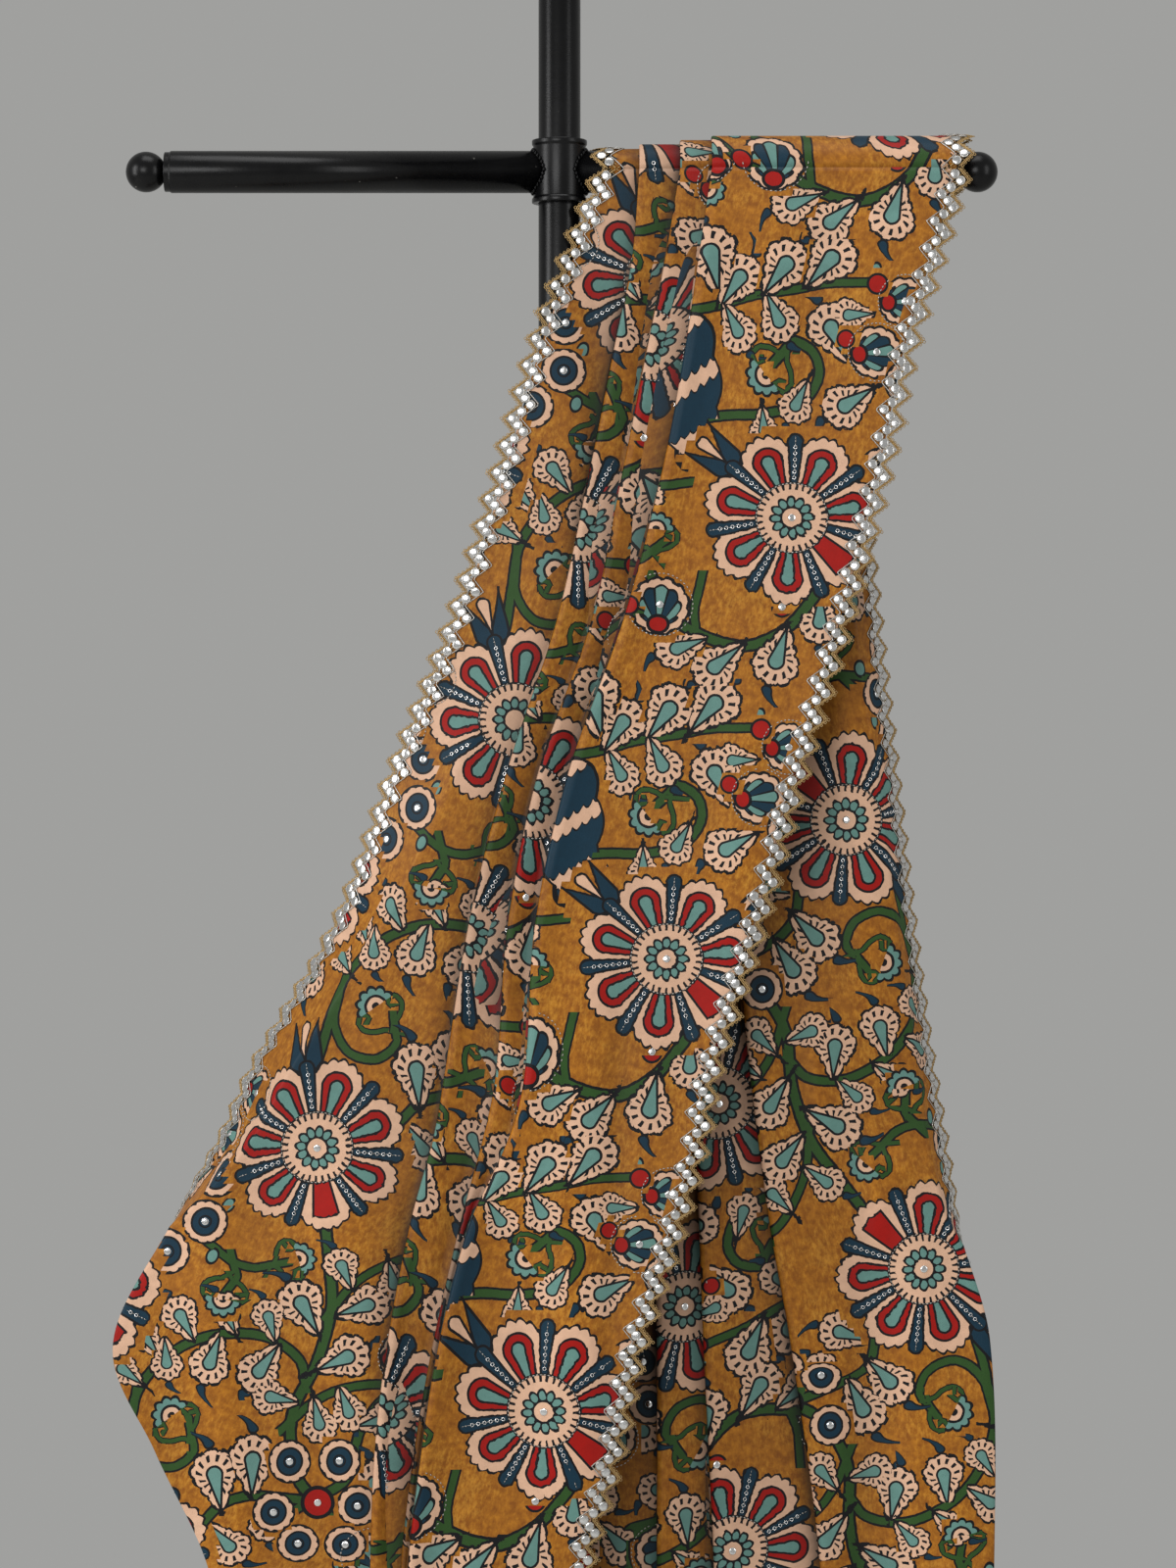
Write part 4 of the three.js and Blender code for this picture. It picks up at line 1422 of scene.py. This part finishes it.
def shell_inks(inks, on, x, y, ruffle):
    """A fan of navy and teal tongues in a scalloped rim, from a red eye."""
    reach = oval(x, y, -0.05, 0.95, 0.92)
    inks.outlined(on, reach + ruffle, 1.02, 0.92, PEACH)
    tongue = (y.do("ARCTAN2", x + 0.75) * 9.0).cos()
    core = reach + tongue.abs() * -0.10
    inks.lay(on * (core < 0.64), INK)
    inks.lay(on * (core < 0.56) * (tongue.abs() > 0.30), NAVY)
    inks.lay(on * (core < 0.56) * (tongue > 0.30), TEAL)
    inks.lay(on * (oval(x, y, -0.62, 0.32, 0.36) < 1.0), INK)
    inks.lay(on * (oval(x, y, -0.62, 0.22, 0.26) < 1.0), RED)


def lotus_inks(inks, on, x, y, r, angle):
    """Half a lotus: a comb of teal petals round a peach heart."""
    on = on * (x > 0.0)
    comb = r + (1.0 - (angle * 5.5).sin().abs()) * 0.17
    inks.outlined(on, comb, 1.10, 0.94, TEAL)
    inks.outlined(on, r, 0.60, 0.46, PEACH)
    inks.lay(on * (oval(x, y, 0.06, 0.16, 0.20) < 1.0), INK)


def banded_inks(inks, on, x, y):
    """A long navy leaf with pale toothed bands across it."""
    blade = oval(x, y, 0.0, 1.0, 0.42) + (1.0 - (x * 5.2 + 0.6).sin().abs()) * 0.16
    band = (x * 8.5 + y * 6.0 + (y * 26.0).sin().abs() * 0.55).sin()
    inks.outlined(on, blade, 1.02, 0.95, NAVY)
    inside = on * (blade < 0.95)
    inks.lay(inside * (band > 0.50), INK)
    inks.lay(inside * (band > 0.66), PEACH)


def small_inks(inks, kind, x, y, r, angle, wobble):
    """Berries, shells, lotuses, banded leaves, drops and buds."""
    ruffle = (1.0 - (angle * 6.0 + wobble * 3.0).sin().abs()) * 0.08
    berry_inks(inks, kind("berry"), x, y, r, ruffle)
    shell_inks(inks, kind("shell"), x, y, ruffle)
    lotus_inks(inks, kind("lotus"), x, y, r, angle)
    banded_inks(inks, kind("banded"), x, y)
    inks.outlined(kind("drop"), oval(x, y, 0.0, 1.0, 0.70), 1.04, 0.72, TEAL)
    inks.outlined(kind("bud"), r, 1.04, 0.80, RED)


def silk_ground(g, place, mottle, blotch):
    """The mustard ground, mottled and blotched as hand-dyed silk is."""
    fibre = g.noise(g.drawn_out(place, (1.0, 0.45, 1.0)), 420.0, 4.0, 0.66)
    deep = (mottle * 0.55 + fibre * 0.45 - 0.40) * 4.6
    ground = g.mix(deep.clamped(), MUSTARD_DEEP, MUSTARD)
    return g.mix(((blotch + fibre - 1.02) * 2.2).clamped(), ground, MUSTARD_GOLD)


def make_silk():
    """Printed silk: ground, vines and motifs by the flat cloth, with shade and ridge highlights
    from the drape's folds painted into its colour.
    """
    g = Graph(SILK_SLOT)
    place = g.node("ShaderNodeUVMap", {"uv_map": "cloth"}, {})
    wobble = g.noise(place, 260.0, 2.0) - 0.5
    parts = g.node("ShaderNodeSeparateXYZ", {}, {0: g.read("motif", 1)})
    x, y, tag = (Value(g, socket) for socket in parts.socket.node.outputs)
    x = x + wobble * 0.05
    r = (x * x + y * y).do("SQRT") + wobble * 0.03
    angle = y.do("ARCTAN2", x)

    def kind(name):
        return g.node("ShaderNodeMath", {"operation": "COMPARE"},
                      {0: tag, 1: float(KINDS[name]), 2: 0.5})

    mottle = g.noise(place, 150.0, 4.0, 0.66)
    blotch = g.noise(place, 22.0, 3.0, 0.6)
    inks = Inks(g, silk_ground(g, place, mottle, blotch))
    vine = g.read("vine_0").abs().least(g.read("vine_1").abs()) + wobble * 0.9
    inks.outlined(1.0, vine, VINE_HALF + VINE_LINE, VINE_HALF, GREEN)
    leaf_inks(inks, kind("leaf"), x, y, wobble)
    small_inks(inks, kind, x, y, r, angle, wobble)
    flower_inks(inks, kind("flower"), x, y, r, angle)
    # Painted shade and highlight: the mesh's shade numbers darken the colour under and beside
    # folds, in creases and in the front's shadow on the turned stretch, and lighten it on ridges.
    # The mottle beside them is the silk's own uneven tone.
    painted_shade_and_mottle = ((1.0 - g.read("shade")) * (mottle * 0.42 + 0.80)).either(0.05)
    painted_shade_colour = g.node("ShaderNodeVectorMath", {"operation": "SCALE"}, {0: inks.top, "Scale": painted_shade_and_mottle})
    crepe = g.noise(place, 1500.0, 2.0, 0.6)
    slub = g.noise(g.drawn_out(place, (1.0, 0.12, 1.0)), 900.0, 2.0)
    g.set(Base_Color=painted_shade_colour, Roughness=blotch * 0.22 + 0.40, Specular_IOR_Level=0.22,
          Normal=g.bump(crepe * 0.6 + slub * 0.5, 0.22, 0.0006))
    return g.material


# Sequins, mirrors and silver stitches, placed by the chart on whatever shows of the cloth

TRIM_LIFT = CLOTH_THICK / 2 + 0.1

def slopes_of(field):
    """How a field of a drape changes from column to column and from row to row."""
    return np.gradient(field, axis=1), np.gradient(field, axis=0)


def nearest_of(flat, spots):
    """For each spot its nearest point, a few hundred spots at a time."""
    nearest = np.empty(len(spots), int)
    for start in range(0, len(spots), 400):
        some = spots[start:start + 400].astype(np.float32)
        gap = ((some[:, None, :] - flat[None]) ** 2).sum(2)
        nearest[start:start + 400] = gap.argmin(1)
    return nearest


def on_cloth(cloth, zone, spots, ways):
    """Places on one strip of a drape for the spots of the flat cloth that lie on it, with the
    cloth's normal and each spot's direction there."""
    columns = shown_columns(cloth, zone)
    u, v = cloth["u"][:, columns], cloth["v"][:, columns]
    flat = np.stack([u.ravel(), v.ravel()], -1).astype(np.float32)
    at = np.unravel_index(nearest_of(flat, spots), u.shape)
    points = cloth["points"][:, columns]
    (u_c, u_r), (v_c, v_r), (p_c, p_r) = [[slope[at] for slope in slopes_of(field)]
                                          for field in (u, v, points)]
    det = u_c * v_r - u_r * v_c
    det = np.where(abs(det) < 1e-6, 1e-6, det)

    def solve(a, b):
        return (a * v_r - b * u_r) / det, (b * u_c - a * v_c) / det

    def in_space(across, down):
        return p_c * across[:, None] + p_r * down[:, None]

    across, down = solve(spots[:, 0] - u[at], spots[:, 1] - v[at])
    keep = (abs(across) < 0.8) & (abs(down) < 0.8)
    place = points[at] + in_space(across, down)
    way = unit(in_space(*solve(ways[:, 0], ways[:, 1])))
    return place[keep], cloth["normals"][:, columns][at][keep], way[keep]


def ring_of_spots(u, v, radius, count):
    """Spots round a circle, each pointing along it."""
    turns = [2 * math.pi * k / count for k in range(count)]
    return [(u + radius * math.cos(a), v + radius * math.sin(a), a + math.pi / 2) for a in turns]


def trim_spots():
    """Sequins, mirrors and stitches of one repeat: (u, v, way) lists by what they are."""
    spots = {"sequin": [], "stitch": [], "mirror": [], "thread": []}
    for u, v, turn in FLOWERS:
        spots["stitch"] += ring_of_spots(u, v, FLOWER_RADIUS * 0.405, 58)
        for k in range(PETALS):
            a = math.radians(turn) + (k + 0.5) * 2 * math.pi / PETALS
            for n in range(7):
                r = FLOWER_RADIUS * (0.47 + 0.072 * n)
                kind = "sequin" if n < 6 else "stitch"
                spots[kind].append((u + r * math.cos(a), v + r * math.sin(a), a))
                r += FLOWER_RADIUS * 0.036
                spots["thread"].append((u + r * math.cos(a), v + r * math.sin(a), a))
    for u, v, *_ in FLOWERS + BERRIES + SHELLS + BUDS[:2]:
        spots["mirror"].append((u, v, 0.0))
    for u, v, r, _ in SHELLS:
        spots["stitch"] += ring_of_spots(u, v, r * 0.99, 44)
    return {kind: np.array(some) for kind, some in spots.items()}


def repeated(spots, cloth, zone):
    """The spots of every repeat that the strip reaches."""
    columns = shown_columns(cloth, zone)
    u, v = cloth["u"][:, columns], cloth["v"][:, columns]
    out = []
    for i in range(int(u.min() // TILE_ACROSS) - 1, int(u.max() // TILE_ACROSS) + 2):
        for j in range(int(v.min() // TILE_ALONG) - 1, int(v.max() // TILE_ALONG) + 2):
            moved = spots + np.array([i * TILE_ACROSS, j * TILE_ALONG, 0])
            inside = ((moved[:, 0] > u.min()) & (moved[:, 0] < u.max())
                      & (moved[:, 1] > v.min()) & (moved[:, 1] < v.max()))
            out.append(moved[inside])
    return np.concatenate(out)


def make_trims(name, cloth, finishes, seed):
    """Sequins, mirrors and silver stitches on every strip of a stretch."""
    rng = np.random.default_rng(seed)
    templates = {
        "sequin": ring_template(1.15, 0.5, 7, 3, lift=0.3),
        "stitch": bead_template(1.3, 0.55, 0.5),
        "thread": bead_template(1.4, 0.3, 0.3),
        "mirror": disc_template(2.5, 0.45),
    }
    shine, thread = [], []
    for kind, spots in trim_spots().items():
        for zone in range(4):
            some = repeated(spots, cloth, zone)
            if not len(some):
                continue
            ways = np.stack([np.cos(some[:, 2]), np.sin(some[:, 2])], -1)
            place, normal, way = on_cloth(cloth, zone, some[:, :2], ways)
            if not len(place):
                continue
            tilt = unit(normal + rng.normal(0, 0.07, normal.shape))
            side = unit(np.cross(tilt, way))
            made = scatter(templates[kind], place + normal * TRIM_LIFT, np.cross(side, tilt),
                           side, tilt)
            (shine if kind in ("mirror", "sequin") else thread).append(made)
    pieces = [mesh_object(name + "_sequins", *joined(shine), finishes["mirror"]),
              mesh_object(name + "_silver_stitches", *joined(thread), finishes["silver"])]
    return [add_piece(piece, LACE_SLOT) for piece in pieces]


def metal_material(name, tint, dark, rough, metal=1.0):
    """Foil, cord or thread: a metal that is a little uneven."""
    g = Graph(name)
    where = g.object_place()
    grain = g.noise(where, 1400.0, 3.0, 0.6)
    patch = g.noise(where, 60.0, 2.0)
    g.set(Base_Color=g.mix(((grain - 0.35) * 2.6).clamped(), dark, tint), Metallic=metal,
          Roughness=grain * 0.18 + patch * 0.12 + rough, Normal=g.bump(grain, 0.25, 0.0003))
    return g.material


def make_paint():
    """Black semi-gloss paint, rubbed dull in places and finely scratched along its length."""
    g = Graph(PAINT_SLOT)
    where = g.object_place()
    peel = g.noise(where, 420.0, 3.0, 0.55)
    rub = g.noise(where, 22.0, 4.0, 0.65)
    streak = g.noise(g.drawn_out(where, (60.0, 60.0, 900.0)), 3.0, 3.0)
    chip = (g.noise(where, 300.0, 2.0, 0.7) > 0.735) * (rub > 0.55)
    shade = g.mix(((rub - 0.40) * 2.5).clamped(), (0.0022, 0.0022, 0.0026),
                  (0.006, 0.006, 0.0065))
    g.set(Base_Color=g.mix(chip, shade, (0.16, 0.15, 0.14)), Specular_IOR_Level=0.24,
          Roughness=rub * 0.20 + streak * 0.10 + chip * 0.25 + 0.13,
          Normal=g.bump(peel * 0.7 + streak * 0.3, 0.12, 0.0004))
    return g.material


def area_light(name, place, target, size, energy):
    """A soft rectangular light that looks at its target."""
    light = bpy.data.lights.new(name, "AREA")
    light.shape = "RECTANGLE"
    light.size, light.size_y = size
    light.energy = energy
    holder = bpy.data.objects.new(name, light)
    holder.location = place
    x, y, z = (to - at for to, at in zip(target, place))
    holder.rotation_euler = (math.atan2(math.hypot(x, y), -z), 0.0, math.atan2(-x, y))
    bpy.context.scene.collection.objects.link(holder)


def make_studio():
    """A pale floor, a grey room and large soft lights from the front and the sides."""
    scene = bpy.context.scene
    world = bpy.data.worlds.new("studio")
    scene.world = world
    world.use_nodes = True
    world.node_tree.nodes["Background"].inputs["Color"].default_value = (0.352, 0.352, 0.343, 1)
    scene.view_settings.view_transform = "Standard"
    area_light("front_light", (-0.9, -3.3, 1.75), (0.05, 0.0, 1.0), (1.5, 1.2), 30)
    area_light("left_light", (-2.3, -1.1, 1.6), (0.0, 0.0, 1.05), (0.8, 1.8), 30)
    area_light("right_light", (2.2, -1.6, 1.7), (0.0, 0.0, 1.05), (0.7, 1.8), 12)
    area_light("top_light", (0.0, -0.4, 3.2), (0.0, 0.0, 1.2), (1.4, 1.0), 14)
    left, right, near, far, level = -2500, 2500, -2500, 1900, -0.5
    corners = [[left, near, level], [right, near, level], [right, far, level], [left, far, level]]
    mesh_object("floor", corners, [[[0, 1, 2, 3]]], make_floor_finish())


def make_floor_finish():
    g = Graph("pale_floor")
    grain = g.noise(g.object_place(), 40.0, 4.0)
    g.set(Base_Color=g.mix(grain, (0.60, 0.60, 0.58), (0.68, 0.68, 0.66)), Roughness=0.7)
    return g.material


# The whole

CLOTH_NODES = {"front": "saree_front_stretch", "over_arm": "saree_over_bar_stretch",
               "back": "saree_back_stretch", "turned": "saree_turned_stretch"}
# Each lace: its name, its stretch, whether it is on the right border, and its solid.
LACES = [
    ("lace_front_left", "front", False, "lace_front_left"),
    ("lace_front_right", "front", True, "lace_front_right"),
    ("lace_over_arm_left", "over_arm", False, "lace_over_bar_left"),
    ("lace_over_arm_right", "over_arm", True, "lace_over_bar_right"),
    ("lace_turned", "turned", True, "lace_turned_right"),
    ("lace_back", "back", True, "lace_back_right"),
]


def make_saree(finishes):
    """The four stretches, their laces and trims."""
    front = front_stretch()
    over = over_stretch(front)
    stretches = {"front": front, "over_arm": over, "back": back_stretch(over),
                 "turned": turned_stretch()}
    pieces = {name: cloth_piece("saree_" + name, cloth, finishes["silk"], CLOTH_NODES[name])
              for name, cloth in stretches.items()}
    extras = {name: [] for name in pieces}
    for k, (lace, name, last, node) in enumerate(LACES):
        extras[name] += make_lace(lace, stretches[name], last, node, finishes, SEED + 10 + k)
    for k, name in enumerate(("front", "turned", "back")):
        extras[name] += make_trims(name, stretches[name], finishes, SEED + 20 + k)


make_camera()
finishes = {
    "silk": make_silk(),
    "mirror": metal_material("foil_mirror", (0.93, 0.93, 0.92), (0.70, 0.70, 0.70), 0.03),
    "silver": metal_material("silver_cord", (0.80, 0.78, 0.74), (0.36, 0.33, 0.29), 0.26, 0.85),
    "gold": metal_material("gold_thread", (0.72, 0.51, 0.24), (0.28, 0.17, 0.06), 0.38, 0.7),
}
paint = make_paint()
make_stand(paint)
make_welds(paint)
make_saree(finishes)
make_studio()
